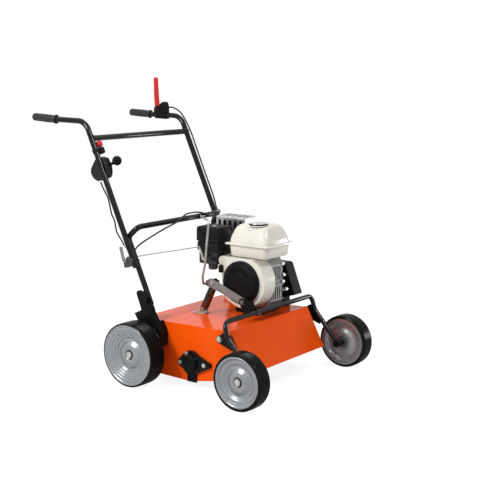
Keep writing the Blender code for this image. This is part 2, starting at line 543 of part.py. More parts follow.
def linkage():
    fy, fz = POST_FOOT
    ty, tz = POST_TOP
    ly, lz = LUG_PIN
    lean = Vector((ty - fy, tz - fz)).normalized()
    side = Vector((lean.y, -lean.x))

    # foot: a plate on the hood with two cheeks that hold the post's pin
    base = [(-0.110, deck_top(-0.110) + GAP), (-0.050, deck_top(-0.050) + GAP),
            (-0.050, deck_top(-0.050) + 0.0033), (-0.110, deck_top(-0.110) + 0.0033)]
    ear = arc(fy, fz, 0.0085, 0, 180, 6) + [(fy - 0.012, deck_top(fy) + 0.002),
                                            (fy + 0.012, deck_top(fy) + 0.002)]
    parts = [prism(base, "X", POST_X - 0.0220, POST_X + 0.0160)]
    for x in (POST_X - 0.0155, POST_X + 0.0125):
        parts.append(prism(ear, "X", x, x + 0.003))
    for bx, by in ((POST_X - 0.0130, -0.0655), (POST_X + 0.0085, -0.0655)):
        parts.append(rod((bx, by, deck_top(by) + 0.002), (bx, by, deck_top(by) + 0.0085), 0.0062, 6))
    make("post_foot", fuse(parts, [rod((POST_X - 0.02, fy, fz), (POST_X + 0.02, fy, fz), 0.0036, 10)]), ZINC)

    # post: a leaning box section with a pin at its foot and a pin that carries the link
    a = Vector((fy, fz)) + lean * -0.004
    b = Vector((ty, tz)) + lean * 0.012
    mid = Vector((fy, fz)) + lean * 0.010
    section = [a + side * 0.0060, mid + side * 0.0120, b + side * 0.0120, b - side * 0.0120,
               mid - side * 0.0120, a - side * 0.0060]
    post = soften(prism([tuple(p) for p in section], "X", POST_X - 0.0120, POST_X + 0.0120), 0.002, 1, 50)
    ey, ez = ROD_EYE
    eye = prism(arc(ey, ez, 0.0125, -90, 90, 6) + [(ty + 0.002, ez + 0.012), (ty + 0.006, ez - 0.016)],
                "X", POST_X - 0.0060, POST_X + 0.0010)
    slot = prism(arc(ey, ez + 0.0032, 0.0053, 0, 180, 6) + arc(ey, ez - 0.0055, 0.0053, 180, 360, 6),
                 "X", POST_X - 0.010, POST_X + 0.010)
    pins = [rod((POST_X - 0.0165, fy, fz), (POST_X + 0.0165, fy, fz), 0.0032, 10),
            rod((LINK_X - 0.0075, ty, tz), (POST_X, ty, tz), 0.0042, 10),
            rod((LINK_X - 0.0075, ty, tz), (LINK_X - 0.0034, ty, tz), 0.0075, 6),
            rod((POST_X - 0.0135, ty, tz), (POST_X - 0.0100, ty, tz), 0.0090, 12)]
    make("depth_post", fuse([post, eye] + pins, [slot]), BLACK, (POST_X, fy, fz))

    # link: flat bar, wide at the post and narrow at the axle's lug
    way = Vector((ly - ty, lz - tz)).normalized()
    start = math.degrees(math.atan2(way.x, -way.y))
    outline = arc(ly, lz + 0.001, 0.0130, start, start - 180, 6) + arc(ty + 0.006, tz + 0.001, 0.0175,
                                                                       start - 180, start - 360, 6)
    body = prism(outline, "X", LINK_X - 0.0030, LINK_X + 0.0030)
    make("adjust_link", fuse([body], [rod((LINK_X - 0.01, ty, tz), (LINK_X + 0.01, ty, tz), 0.0048, 10),
                                      rod((LINK_X - 0.01, ly, lz), (LINK_X + 0.01, ly, lz), 0.0056, 10)]),
         ZINC, (LINK_X, ty, tz))

    # depth rod: from its guide in the cross bar forward over the air cleaner and down to the post
    path = [(ROD_X, 0.104, ROD_Z), (ROD_X, 0.046, ROD_Z), (-0.125, -0.168, 0.6175), (-0.1120, -0.140, 0.450),
            (-0.1050, -0.121, 0.392), (-0.0970, -0.1180, 0.3630), (POST_X + 0.0060, *ROD_EYE)]
    make("depth_rod", tube(bend(path, 0.010, 3), 0.0045, 8), STEEL, (ROD_X, 0.077, ROD_Z))


# Handle
def handle():
    for sign, side in ((-1, "right"), (1, "left")):
        block = [(-0.070, 0.150), (-0.070, 0.207), (-0.046, 0.250), (-0.019, 0.2920), (-0.012, 0.2945),
                 (0.058, 0.262), (0.042, 0.237), (0.036, 0.150)]
        hollow = [(-0.066, 0.100), (-0.066, 0.206), (-0.043, 0.248), (-0.0155, 0.2895), (0.052, 0.2600),
                  (0.038, 0.237), (0.034, 0.100)]
        upright = [(-0.040, 0.240), (-0.026, 0.290), (-0.010, 0.318), (0.012, 0.341), (0.043, 0.350),
                   (0.062, 0.344), (0.066, 0.334), (0.044, 0.280), (0.038, 0.240)]
        outer = fuse([prism(block, "X", -0.2985, -DECK_HALF - GAP)],
                     [prism(hollow, "X", -0.2950, -DECK_HALF - GAP - 0.003)])
        plate = soften(prism(upright, "X", -0.2787, -0.2747), 0.001, 1, 60)
        cuts = [rod((-0.32, REAR_Y, REAR_Z), (-0.25, REAR_Y, REAR_Z), 0.014, 12),
                prism([(-0.05, 0.2350), (0.045, 0.2350), (0.045, 0.32), (-0.05, 0.32)], "X", -0.2747,
                      -0.2495),
                rod((-0.29, lower_y(0.318), 0.318), (-0.25, lower_y(0.318), 0.318), 0.0045, 12)]
        make("handle_bracket_" + side, mirrored(fuse([outer, plate], cuts), sign), BLACK)

        # clamp knob through the bracket plate and the leg
        ky, kz = lower_y(0.318), 0.318
        star = [(0.016 + 0.0025 * math.cos(3 * math.radians(a)), a) for a in range(0, 360, 20)]
        outline = [(ky + r * math.cos(math.radians(a)), kz + r * math.sin(math.radians(a))) for r, a in star]
        knob = fuse([soften(prism(outline, "X", -0.2940, -0.2810), 0.0015, 1, 60),
                     rod((-0.2900, ky, kz), (-0.2515, ky, kz), 0.0040, 12),
                     rod((-0.2820, ky, kz), (-0.2790, ky, kz), 0.010, 12)])
        make("foot_knob_" + side, mirrored(knob, sign), PLASTIC, (sign * 0.2785, ky, kz))

    # lower handle: one tube bent to a U, its legs inside the upper tubes
    half = [(0.0, 0.077, 0.587), (0.2500, 0.077, 0.587), (LOWER_X, lower_y(0.545), 0.545),
            (LOWER_X, lower_y(0.296), 0.296)]
    path = [(-x, y, z) for x, y, z in reversed(half)] + half[1:]
    body = tube(bend(path, 0.024, 5), HANDLE_R, 12)
    cuts = []
    for sign in (-1, 1):
        for y, z in ((lower_y(0.318), 0.318), (FOLD_Y, FOLD_Z)):
            cuts.append(rod((sign * 0.24, y, z), (sign * 0.29, y, z), 0.0045, 12))
    guide = rod((ROD_X, 0.059, ROD_Z), (ROD_X, 0.095, ROD_Z), 0.0085, 12)
    cuts.append(rod((ROD_X, 0.050, ROD_Z), (ROD_X, 0.110, ROD_Z), 0.0052, 12))
    make("lower_handle", fuse([body, guide], cuts), BLACK)

    # upper handle: two bent tubes and a cross bar
    parts, cuts = [], []
    for sign in (-1, 1):
        x = sign * UPPER_X
        path = [(x, upper_y(0.436), 0.436), (x, upper_y(GRIP_Z - 0.002), GRIP_Z - 0.002),
                (x, GRIP_IN, GRIP_Z + 0.001),
                (x, GRIP_OUT - 0.006, GRIP_Z + 0.0075)]
        parts.append(tube(bend(path, 0.062, 6), HANDLE_R, 12))
        cuts.append(rod((sign * 0.27, FOLD_Y, FOLD_Z), (sign * 0.30, FOLD_Y, FOLD_Z), 0.0045, 12))
    parts.append(rod((-UPPER_X, 0.2760, 0.919), (UPPER_X, 0.2760, 0.919), 0.0115, 12))
    make("upper_handle", fuse(parts, cuts), BLACK, (0, FOLD_Y, FOLD_Z))

    for sign, side, inner in ((-1, "right", GRIP_IN), (1, "left", GRIP_IN + 0.012)):
        x = sign * UPPER_X
        way = Vector((0, GRIP_OUT - 0.006 - GRIP_IN, 0.0065)).normalized()
        length = GRIP_OUT - inner - 0.00045
        grip = [(length - 0.004, 0), (length - 0.004, 0.0117), (0, 0.0117), (0, 0.0165), (0.003, 0.0185),
                (0.008, 0.0165), (0.012, 0.0152), (length * 0.5, 0.0160), (length - 0.010, 0.0158),
                (length - 0.002, 0.0148), (length, 0.0120), (length, 0)]
        make("grip_" + side, turned(grip, 14, (x, inner, GRIP_Z + 0.001 + 0.0528 * (inner - GRIP_IN)), way),
             RUBBER)

        # fold knob with its bolt, on the outside of the tubes
        outline = []
        for i in range(20):
            a = math.radians(18 * i)
            r = 0.0195 + 0.0022 * math.cos(5 * a)
            outline.append((FOLD_Y + r * math.cos(a), FOLD_Z + r * math.sin(a)))
        blade = [(0.0860, 0.4560), (0.1040, 0.4610), (0.1185, 0.5100), (0.1165, 0.5150), (0.1040, 0.5150)]
        step = [(0.0790, 0.4380), (0.0960, 0.4340), (0.1040, 0.4660), (0.0860, 0.4700)]
        knob = fuse([soften(prism(outline, "X", -0.3125, -0.3005), 0.002, 1, 60),
                     prism(blade, "X", -0.3125, -0.3095), prism(step, "X", -0.3100, -0.3010),
                     rod((-0.3020, FOLD_Y, FOLD_Z), (-0.2972, FOLD_Y, FOLD_Z), 0.010, 12),
                     rod((-0.3100, FOLD_Y, FOLD_Z), (-0.2500, FOLD_Y, FOLD_Z), 0.0040, 12)])
        make("fold_knob_" + side, mirrored(knob, sign), GREY, (sign * 0.2985, FOLD_Y, FOLD_Z))


# Controls
def controls():
    # clutch lever: housing clamped on the left tube, red lever between its cheeks
    x = UPPER_X
    py, pz = 0.441, 1.0115
    body = soften(prism([(0.383, 0.968), (0.445, 0.970), (0.4520, 1.000), (0.4510, 1.016), (0.4430, 1.0225),
                         (0.424, 1.0235), (0.413, 1.035), (0.402, 1.042), (0.390, 1.040), (0.383, 1.020)],
                        "X", x - 0.0135, x + 0.0135), 0.002, 1, 30)
    cuts = [rod((x, 0.370, GRIP_Z - 0.0010), (x, 0.460, GRIP_Z + 0.0008), HANDLE_R + 0.0006, 16),
            box(x - 0.0052, x + 0.0052, 0.4250, 0.460, 1.0005, 1.060),
            rod((x - 0.02, py, pz), (x + 0.02, py, pz), 0.0034, 10)]
    make("lever_housing", fuse([body], cuts), PLASTIC)
    lever = arc(py, pz, 0.0095, 160, 380, 8) + [(0.4540, 1.030), (0.4560, 1.060), (0.4575, 1.136),
                                                (0.4550, 1.1440), (0.4495, 1.1465), (0.4420, 1.1455),
                                                (0.4385, 1.138), (0.4335, 1.060), (0.4305, 1.024)]
    blade = soften(prism(lever, "X", x - 0.0048, x + 0.0048), 0.0012, 1, 50)
    make("clutch_lever", fuse([blade, rod((x - 0.0130, py, pz), (x + 0.0130, py, pz), 0.003, 10)]), RED,
         (x, py, pz))

    # throttle: moulded housing on the inside of the right tube, lever with a ball
    x = -UPPER_X
    ty, tz = 0.268, 0.790
    shell = [(0.212, 0.770), (0.226, 0.763), (0.262, 0.752), (0.284, 0.764), (0.296, 0.784), (0.294, 0.800),
             (0.272, 0.836), (0.248, 0.848), (0.226, 0.842), (0.210, 0.812), (0.207, 0.788)]
    case = soften(prism(shell, "X", -0.2790, -0.2440), 0.004, 2, 30)
    cuts = [rod((x, upper_y(0.760), 0.760), (x, upper_y(0.850), 0.850), HANDLE_R + 0.0005, 16),
            prism([(0.170, 0.790), (0.300, 0.774), (0.300, 0.805), (0.255, 0.870), (0.170, 0.870)],
                  "X", -0.2535, -0.2475)]
    make("throttle_housing", fuse([case], cuts), PLASTIC)
    away = Vector((0.180 - ty, 0.835 - tz)).normalized()
    side = Vector((away.y, -away.x)) * 0.0055
    start = math.degrees(math.atan2(side.y, side.x))
    tip = Vector((0.180, 0.835)) - away * 0.012
    outline = arc(tip.x, tip.y, 0.0055, start, start + 180, 4) + arc(ty - 0.004, tz + 0.004, 0.007,
                                                                     start + 180, start + 360, 6)
    arm = prism(outline, "X", -0.2521, -0.2489)
    ball = turned([(0.0185 * -math.cos(math.pi * i / 8),
                    0.0185 * math.sin(math.pi * i / 8)) for i in range(9)],
                  14, (-0.2505, 0.180, 0.835))
    make("throttle_lever", fuse([arm, ball]), PLASTIC, (-0.2505, ty - 0.004, tz + 0.004))

    # stop switch: box clamped on the right tube and a red push button on it
    lean = Vector((0, HANDLE_SLOPE, 1)).normalized()
    base = Vector((-0.2600, 0.2475, 0.858))
    seat = soften(box(-0.0138, 0.0105, -0.0115, 0.0115, 0.002, 0.026), 0.0020, 1)
    bmesh.ops.rotate(seat, verts=seat.verts, cent=(0, 0, 0),
                     matrix=Vector((0, 0, 1)).rotation_difference(lean).to_matrix())
    bmesh.ops.translate(seat, verts=seat.verts, vec=base)
    strap = rod((x, upper_y(0.864), 0.864), (x, upper_y(0.877), 0.877), 0.0130, 16)
    top = base + lean * 0.026
    cuts = [rod((x, upper_y(0.840), 0.840), (x, upper_y(0.900), 0.900), HANDLE_R + 0.0005, 16),
            rod(top - lean * 0.009, top + lean * 0.004, 0.0062, 14)]
    make("stop_switch", fuse([seat, strap], cuts), PLASTIC)
    stem = [(0, 0), (0, 0.0056), (0.0092, 0.0056), (0.0092, 0.0115), (0.0115, 0.0130), (0.0230, 0.0130),
            (0.0280, 0.0110), (0.0305, 0.0065), (0.0305, 0)]
    make("stop_button", turned(stem, 14, top - lean * 0.0040, lean), RED, tuple(top))


# Engine
def engine():
    mount = prism([(-0.180, deck_top(-0.180) + GAP), (-0.305, deck_top(-0.305) + GAP), (-0.305, 0.2707),
                   (-0.180, 0.2707)],
                  "X", 0.030, 0.150)
    tunnel = prism([(-0.170, 0.2490), (-0.315, 0.2490), (-0.315, 0.2640), (-0.170, 0.2640)], "X", 0.052,
                   0.128)
    make("engine_mount", fuse([mount], [tunnel]), BLACK)

    rise = math.radians(25)
    up = Vector((math.cos(rise), math.sin(rise)))
    norm = Vector((-up.y, up.x))
    crank = Vector((CRANK_Y, CRANK_Z))

    def along(d, w):
        p = crank + up * d + norm * w
        return (p.x, p.y)

    # crankcase with its side cover and lugs
    case = [(-0.185, 0.2710), (-0.330, 0.2710), (-0.338, 0.2850), (-0.3400, 0.440), (-0.325, 0.4650),
            (-0.300, 0.4740),
            (-0.190, 0.4740), along(0.1117, 0.036), along(0.1117, -0.040), (-0.1660, 0.3450)]
    body = soften(prism(case, "X", FAN_FAR + GAP, CASE_FAR), 0.004, 1, 25)
    cover = turned([(0, 0), (0, 0.052), (0.012, 0.052), (0.016, 0.046), (0.018, 0.036), (0.025, 0.030),
                    (0.027, 0.026),
                    (0.027, 0)], 18, (CASE_FAR - 0.003, CRANK_Y, CRANK_Z))
    lugs = [rod((0.115, -0.3375, 0.330), (0.150, -0.3375, 0.330), 0.0048, 8)]
    for lx, y, z in ((0.126, -0.3375, 0.435), (0.132, -0.3385, 0.390), (0.127, -0.3385, 0.365),
                     (0.152, -0.3375, 0.330)):
        lugs.append(rod((lx - 0.014, y, z), (lx, y, z), 0.0078, 8))
    make("crankcase", fuse([body, cover] + lugs), ALLOY)

    # cylinder: a comb of fins across the inclined barrel
    comb = [along(0.1120, -0.036), along(0.1120, 0.036)]
    edge = []
    for i in range(6):
        d = 0.1165 + 0.0105 * i
        comb += [along(d, 0.036), along(d, 0.026), along(d + 0.006, 0.026), along(d + 0.006, 0.036)]
        edge += [along(d, -0.036), along(d, -0.026), along(d + 0.006, -0.026), along(d + 0.006, -0.036)]
    comb += [along(0.1900, 0.033), along(0.1960, 0.026), along(0.1960, -0.026), along(0.1900, -0.036)]
    comb += edge[::-1]
    py, pz = along(0.1950, 0.004)
    plug = turned([(0, 0), (0, 0.0105), (0.014, 0.0105), (0.019, 0.0085), (0.026, 0.0080), (0.028, 0)], 10,
                  (0.085, py, pz), (0, up.x, up.y))
    make("cylinder", fuse([prism(comb, "X", 0.0330, 0.1215), plug]), ALLOY)

    # fan housing and recoil starter
    face = arc(CRANK_Y, CRANK_Z, 0.1020, 115, 300, 12) + [(-0.186, 0.303), (-0.174, 0.330), (-0.166, 0.405),
                                                          (-0.1530, 0.452),
                                                         (-0.1560, 0.464), (-0.1700, 0.4725)]
    shroud = soften(prism(face, "X", FAN_NEAR, FAN_FAR), 0.008, 2, 50)
    vent = turned([(0, 0), (0, 0.089), (0.006, 0.089), (0.006, 0)], 20, (FAN_NEAR - 0.004, CRANK_Y, CRANK_Z))
    make("fan_housing", fuse([shroud, vent]), CREAM)
    dome = [(0, 0), (0, 0.0830), (-0.0100, 0.0830), (-0.0160, 0.0800), (-0.0200, 0.0725), (-0.0225, 0.0600),
            (-0.0235, 0.0400), (-0.0245, 0.0320), (-0.0250, 0)]
    make("recoil_cover", turned(dome, 24, (FAN_NEAR - 0.0043, CRANK_Y, CRANK_Z)), PLASTIC)
    pull = soften(box(-0.0660, -0.0475, -0.1790, -0.1660, 0.4080, 0.4400), 0.0035, 1)
    make("starter_grip", pull, PLASTIC, (-0.0567, -0.1725, 0.4240))

    # tank: crowned body, seam flange, filler neck
    tx0, tx1, ty0, ty1 = -0.047, 0.117, -0.381, -0.198
    shape = [(0.4755, 0.010, 0.020), (0.4800, 0.004, 0.022), (0.5220, 0.000, 0.024), (0.5220, -0.011, 0.015),
             (0.5280, -0.011, 0.015), (0.5280, 0.001, 0.024), (0.5480, 0.002, 0.026), (0.5740, 0.011, 0.028),
             (0.5900, 0.019, 0.030), (0.5975, 0.030, 0.028), (0.6000, 0.042, 0.024)]
    rings = [[(px, py, z) for px, py in rounded(tx0 + d, tx1 - d, ty0 + d, ty1 - d, r)] for z, d, r in shape]
    neck = rod((0.000, -0.310, 0.5760), (0.000, -0.310, 0.5935), 0.030, 16)
    recess = rod((0.000, -0.310, 0.5915), (0.000, -0.310, 0.6200), 0.0385, 20)
    make("fuel_tank", fuse([fuse([loft(rings)], [recess]), neck]), CREAM)
    cap = []
    for i in range(28):
        a = math.radians(360 * i / 28)
        r = 0.0345 + (0.0012 if i % 2 else 0.0)
        cap.append((r * math.cos(a), -0.310 + r * math.sin(a)))
    lid = soften(prism(cap, "Z", 0.5938, 0.6060), 0.0015, 1, 60)
    make("fuel_cap", lid, PLASTIC, (0.000, -0.310, 0.5938))

    # air cleaner over the carburettor
    tray = prism(rounded(-0.0430, 0.0500, -0.1460, -0.0430, 0.006), "Z", 0.4830, 0.5160)
    lid = prism(rounded(-0.0460, 0.0530, -0.1490, -0.0400, 0.007), "Z", 0.5200, 0.5770)
    sharp = [e for e in lid.edges if all(abs(v.co.z - 0.5770) < 1e-6 for v in e.verts)]
    bmesh.ops.bevel(lid, geom=sharp, offset=0.006, segments=2, affect="EDGES", profile=0.5,
                    clamp_overlap=True)
    throat = prism(rounded(-0.0400, 0.0470, -0.1430, -0.0460, 0.005), "Z", 0.5000, 0.5400)
    # its underside is cut clear of the inclined barrel
    clear = [along(0.100, 0.038), along(0.1975, 0.038), along(0.1975, -0.060), along(0.100, -0.060)]
    make("air_cleaner", fuse([tray, throat, lid], [prism(clear, "X", 0.0290, 0.0700)]), PLASTIC)
    carb = fuse([soften(box(-0.0300, 0.0120, -0.1310, -0.0430, 0.4280, 0.4827), 0.003),
                 turned([(0, 0), (0, 0.014), (0.004, 0.019), (0.034, 0.020), (0.040, 0)], 12,
                        (-0.0090, -0.098, 0.4060), (0, 0, 1)),
                 box(0.0080, 0.0327, -0.1200, -0.1000, 0.4450, 0.4700),
                 rod((-0.0290, -0.0780, 0.4520), (-0.0460, -0.0780, 0.4520), 0.0050, 10)])
    make("carburettor", carb, ALLOY)
    gov = prism(arc(-0.0780, 0.4520, 0.0070, 200, 380, 5) + arc(-0.0600, 0.4960, 0.0040, -20, 160, 4), "X",
                -0.0493, -0.0463)
    make("governor_lever", gov, ZINC, (-0.0478, -0.0780, 0.4520))
    for name, cy, cz, turn_by in (("choke_lever", -0.0980, 0.4650, 30), ("fuel_lever", -0.1120, 0.4520, 160)):
        a = Vector((math.cos(math.radians(turn_by)), math.sin(math.radians(turn_by))))
        stick = prism(arc(cy, cz, 0.0055, turn_by + 90, turn_by + 270, 4)
                      + arc(cy + 0.016 * a.x, cz + 0.016 * a.y, 0.0035, turn_by - 90, turn_by + 90, 3),
                      "X", -0.0390, -0.0355)
        make(name, fuse([stick, rod((-0.0385, cy, cz), (-0.0303, cy, cz), 0.0040, 8)]), PLASTIC,
             (-0.0350, cy, cz))

    # muffler and its slotted guard
    can = soften(prism(rounded(0.0895, 0.1705, -0.1780, -0.0410, 0.018, 2), "Z", 0.5180, 0.5860), 0.008, 1,
                 60)
    pipe = rod((0.104, -0.090, 0.522), (0.100, -0.100, 0.5040), 0.012, 10)
    make("muffler", fuse([can, pipe]), BLACK)
    shell = fuse([soften(box(0.0850, 0.1750, -0.1830, -0.0360, 0.5450, 0.6040), 0.006, 1)],
                 [soften(box(0.0872, 0.1728, -0.1808, -0.0382, 0.5200, 0.6018), 0.005, 1)])
    slots = []
    for i in range(5):
        y = -0.1680 + 0.0260 * i
        slots.append(box(0.0980, 0.1620, y, y + 0.013, 0.595, 0.610))
        slots.append(box(0.080, 0.095, y, y + 0.013, 0.5520, 0.5900))
    make("muffler_guard", fuse([shell], slots), BLACK)
    oil = turned([(0, 0), (0, 0.0125), (0.006, 0.0135), (0.012, 0.0120), (0.014, 0.006), (0.020, 0)], 10,
                 (0.095, -0.1730, 0.3159), (0, 0.9686, -0.2487))
    make("oil_cap", oil, PLASTIC, (0.095, -0.1730, 0.3159))


# Cables
def cables():
    x = UPPER_X
    route = [(x + 0.004, 0.3818, 1.0180), (x + 0.002, 0.3500, 1.0170), (x - 0.004, 0.3010, 0.9930),
             (x - 0.010, 0.2490, 0.9260), (x - 0.010, 0.204, 0.827), (x - 0.010, 0.158, 0.726),
             (x - 0.0115, 0.124, 0.655), (x - 0.0150, 0.1082, 0.6170)]
    make("clutch_cable_upper", tube(flow(route, 0.020), 0.0032, 8), PLASTIC)
    route = [(x - 0.0154, 0.1075, 0.6150), (x - 0.0175, 0.1020, 0.6050), (0.260, 0.0910, 0.5990),
             (0.242, 0.0635, 0.5955),
             (0.212, 0.0585, 0.5820), (0.188, 0.0575, 0.5800), (0.160, 0.0590, 0.5880),
             (0.132, 0.0660, 0.6000),
             (0.102, 0.0755, 0.6055), (0.072, 0.0765, 0.6065), (0.040, 0.0750, 0.6055),
             (0.008, 0.0660, 0.6005),
             (-0.022, 0.0588, 0.5905), (-0.058, 0.0570, 0.5800), (-0.120, 0.0600, 0.5640),
             (-0.185, 0.0760, 0.5370),
             (-0.232, 0.0960, 0.5080)]
    route += [(-0.2502, lower_y(z) + 0.0098, z) for z in (0.4800, 0.4400, 0.3900, 0.3400)]
    route += [(-0.2470, 0.0250, 0.3000), (-0.2360, 0.0420, 0.2680), (-0.2220, 0.0720, 0.2520),
              (-0.2120, 0.0790, 0.2220)]
    make("clutch_cable_lower", tube(flow(route, 0.020), 0.0032, 8), PLASTIC)
    x = -UPPER_X
    route = [(-0.2680, 0.2515, 0.7490), (-0.2760, 0.2280, 0.7220), (x + 0.001, 0.2010, 0.6970),
             (x, 0.1890, 0.6650),
             (x, 0.1800, 0.6310), (x, 0.1660, 0.6080), (x, 0.1560, 0.5680), (x, 0.1440, 0.5500),
             (x + 0.001, 0.1290, 0.5310), (-0.2810, 0.1215, 0.5150)]
    make("throttle_cable_upper", tube(flow(route, 0.016), 0.0030, 8), PLASTIC)
    route = [(-0.2806, 0.1211, 0.5140), (-0.2740, 0.1170, 0.5030), (-0.2640, 0.1105, 0.4890),
             (-0.2520, 0.1060, 0.4770), (-0.2360, 0.0975, 0.4690), (-0.2000, 0.0670, 0.4740),
             (-0.1500, 0.0250, 0.4815), (-0.1000, -0.0175, 0.4890), (-0.0520, -0.0583, 0.4967)]
    make("throttle_cable_lower", tube(flow(route, 0.016), 0.0018, 8), PLASTIC)


deck()
bearing(-1)
bearing(1)
rotor()
drive()
belt_guard()
wheels()
front_axle()
linkage()
handle()
controls()
engine()
cables()
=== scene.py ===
# %% [markdown]
# # Petrol scarifier, dressed
# A scarifier rolls on four wheels and lets a row of knives cut the moss out of a lawn. The fixed
# frame below is the plain CAD model. This file gives each of its nodes a finish, and builds finer
# pieces where the plain solid is too coarse: wheels, tubes, grips, tank, starter and controls.

import json
import math

import bmesh
import bpy
from mathutils import Matrix, Vector


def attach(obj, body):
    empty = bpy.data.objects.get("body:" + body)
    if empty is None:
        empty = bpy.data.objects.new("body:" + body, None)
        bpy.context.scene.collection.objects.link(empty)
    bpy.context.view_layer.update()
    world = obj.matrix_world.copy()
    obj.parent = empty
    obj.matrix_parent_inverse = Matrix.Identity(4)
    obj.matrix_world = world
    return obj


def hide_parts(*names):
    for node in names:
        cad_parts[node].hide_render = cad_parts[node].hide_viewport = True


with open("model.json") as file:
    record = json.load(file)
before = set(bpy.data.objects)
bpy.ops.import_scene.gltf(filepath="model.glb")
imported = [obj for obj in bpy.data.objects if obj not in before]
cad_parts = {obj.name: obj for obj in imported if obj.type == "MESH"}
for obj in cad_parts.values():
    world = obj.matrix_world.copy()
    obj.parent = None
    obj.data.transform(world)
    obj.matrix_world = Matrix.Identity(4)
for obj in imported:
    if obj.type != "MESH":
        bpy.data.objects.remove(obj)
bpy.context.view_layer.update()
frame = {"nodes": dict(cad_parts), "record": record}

# %% [markdown]
# ## Camera
# The photograph looks at the right front corner from a little above the deck. A long lens from four
# metres keeps the wheels almost the same size. The camera is set by its three axes, because they
# follow from two angles alone: how far round it stands, and how far up.

# %% Camera
TURN, RISE = math.radians(-53.2003), math.radians(9.2947)
AIM = Vector((-0.0091, -0.2292, 0.5348))
BACK = Vector((math.sin(TURN) * math.cos(RISE), -math.cos(TURN) * math.cos(RISE), math.sin(RISE)))
RIGHT = Vector((math.cos(TURN), math.sin(TURN), 0.0))
SENSOR_MM, FOCAL_MM, DISTANCE = 36.0, 78.8675, 4.034
lens = bpy.data.cameras.new("camera")
lens.sensor_width, lens.lens = SENSOR_MM, FOCAL_MM
camera = bpy.data.objects.new("camera", lens)
bpy.context.scene.collection.objects.link(camera)
place = Matrix((RIGHT, BACK.cross(RIGHT), BACK)).transposed().to_4x4()
place.translation = AIM + BACK * DISTANCE
camera.matrix_world = place
bpy.context.scene.camera = camera
print("camera at", [round(v, 3) for v in place.translation])

# %% [markdown]
# ## Finishes
# Nearly all surfaces here are paint, plastic, rubber or metal, and they differ in three ways: how
# the colour drifts over a hand's width, how rough they are, and how fine their grain is. One helper
# makes all of them from two noises: a wide one for colour and roughness, a fine one for the bump.
# Object coordinates are in metres, so a scale of 500 is a grain of about two millimetres.

# %% Helper for a finish
def noise(tree, vector, scale, detail, rough=0.55):
    node = tree.nodes.new("ShaderNodeTexNoise")
    node.inputs["Scale"].default_value = scale
    node.inputs["Detail"].default_value = detail
    node.inputs["Roughness"].default_value = rough
    tree.links.new(vector, node.inputs["Vector"])
    return node.outputs["Fac"]


def ramp(tree, value, low, high, first, last):
    node = tree.nodes.new("ShaderNodeValToRGB")
    node.color_ramp.elements[0].position, node.color_ramp.elements[1].position = low, high
    node.color_ramp.elements[0].color, node.color_ramp.elements[1].color = (*first, 1), (*last, 1)
    tree.links.new(value, node.inputs["Fac"])
    return node.outputs["Color"]


def spread(tree, value, low, high):
    """A noise stays between about 0.3 and 0.7, and is stretched here to low-high."""
    node = tree.nodes.new("ShaderNodeMapRange")
    for socket, number in zip(("From Min", "From Max", "To Min", "To Max"), (0.3, 0.7, low, high)):
        node.inputs[socket].default_value = number
    tree.links.new(value, node.inputs["Value"])
    return node.outputs["Result"]


def finish(name, colour, second, rough, metal=0.0, patch=22.0, grain=700.0, relief=0.2,
           depth=0.0001, stretch=(1, 1, 1), edge=None, **plain):
    """Two colours in soft patches, a roughness range and a fine grain. plain sets bare sockets."""
    mat = bpy.data.materials.new(name)
    mat.use_nodes = True
    tree = mat.node_tree
    shader = tree.nodes["Principled BSDF"]
    shader.inputs["Metallic"].default_value = metal
    for socket, number in plain.items():
        shader.inputs[socket.replace("_", " ")].default_value = number
    where = tree.nodes.new("ShaderNodeTexCoord").outputs["Object"]
    shape = tree.nodes.new("ShaderNodeMapping")
    shape.inputs["Scale"].default_value = stretch
    tree.links.new(where, shape.inputs["Vector"])
    wide = noise(tree, where, patch, 5)
    fine = noise(tree, shape.outputs["Vector"], grain, 3)
    tone = ramp(tree, wide, 0.35, 0.68, colour, second)
    if edge:  # raised edges are rubbed to a lighter tone; sockets 6, 7 and output 2 are the colours
        bent = tree.nodes.new("ShaderNodeNewGeometry").outputs["Pointiness"]
        worn = ramp(tree, bent, 0.52, 0.62, (0, 0, 0), (1, 1, 1))
        mix = tree.nodes.new("ShaderNodeMix")
        mix.data_type = "RGBA"
        tree.links.new(worn, mix.inputs[0])
        tree.links.new(tone, mix.inputs[6])
        mix.inputs[7].default_value = (*edge, 1)
        tone = mix.outputs[2]
    tree.links.new(tone, shader.inputs["Base Color"])
    dull = noise(tree, where, patch * 3.7, 6, 0.65)
    tree.links.new(spread(tree, dull, *rough), shader.inputs["Roughness"])
    bump = tree.nodes.new("ShaderNodeBump")
    bump.inputs["Strength"].default_value = relief
    bump.inputs["Distance"].default_value = depth
    tree.links.new(fine, bump.inputs["Height"])
    tree.links.new(bump.outputs["Normal"], shader.inputs["Normal"])
    mat.diffuse_color = (*colour, 1)
    return mat


print("finish mixes two colours, a roughness and a grain from noises")

# %% [markdown]
# The deck is powder coated: a glossy orange with a faint orange peel. The tubes have a black coat so
# smooth that a lamp shows on it as a line, the plates a duller one. The tank and the fan housing are
# sprayed in a warm white enamel, the wheels in silver. Low specular levels keep the colours deep.

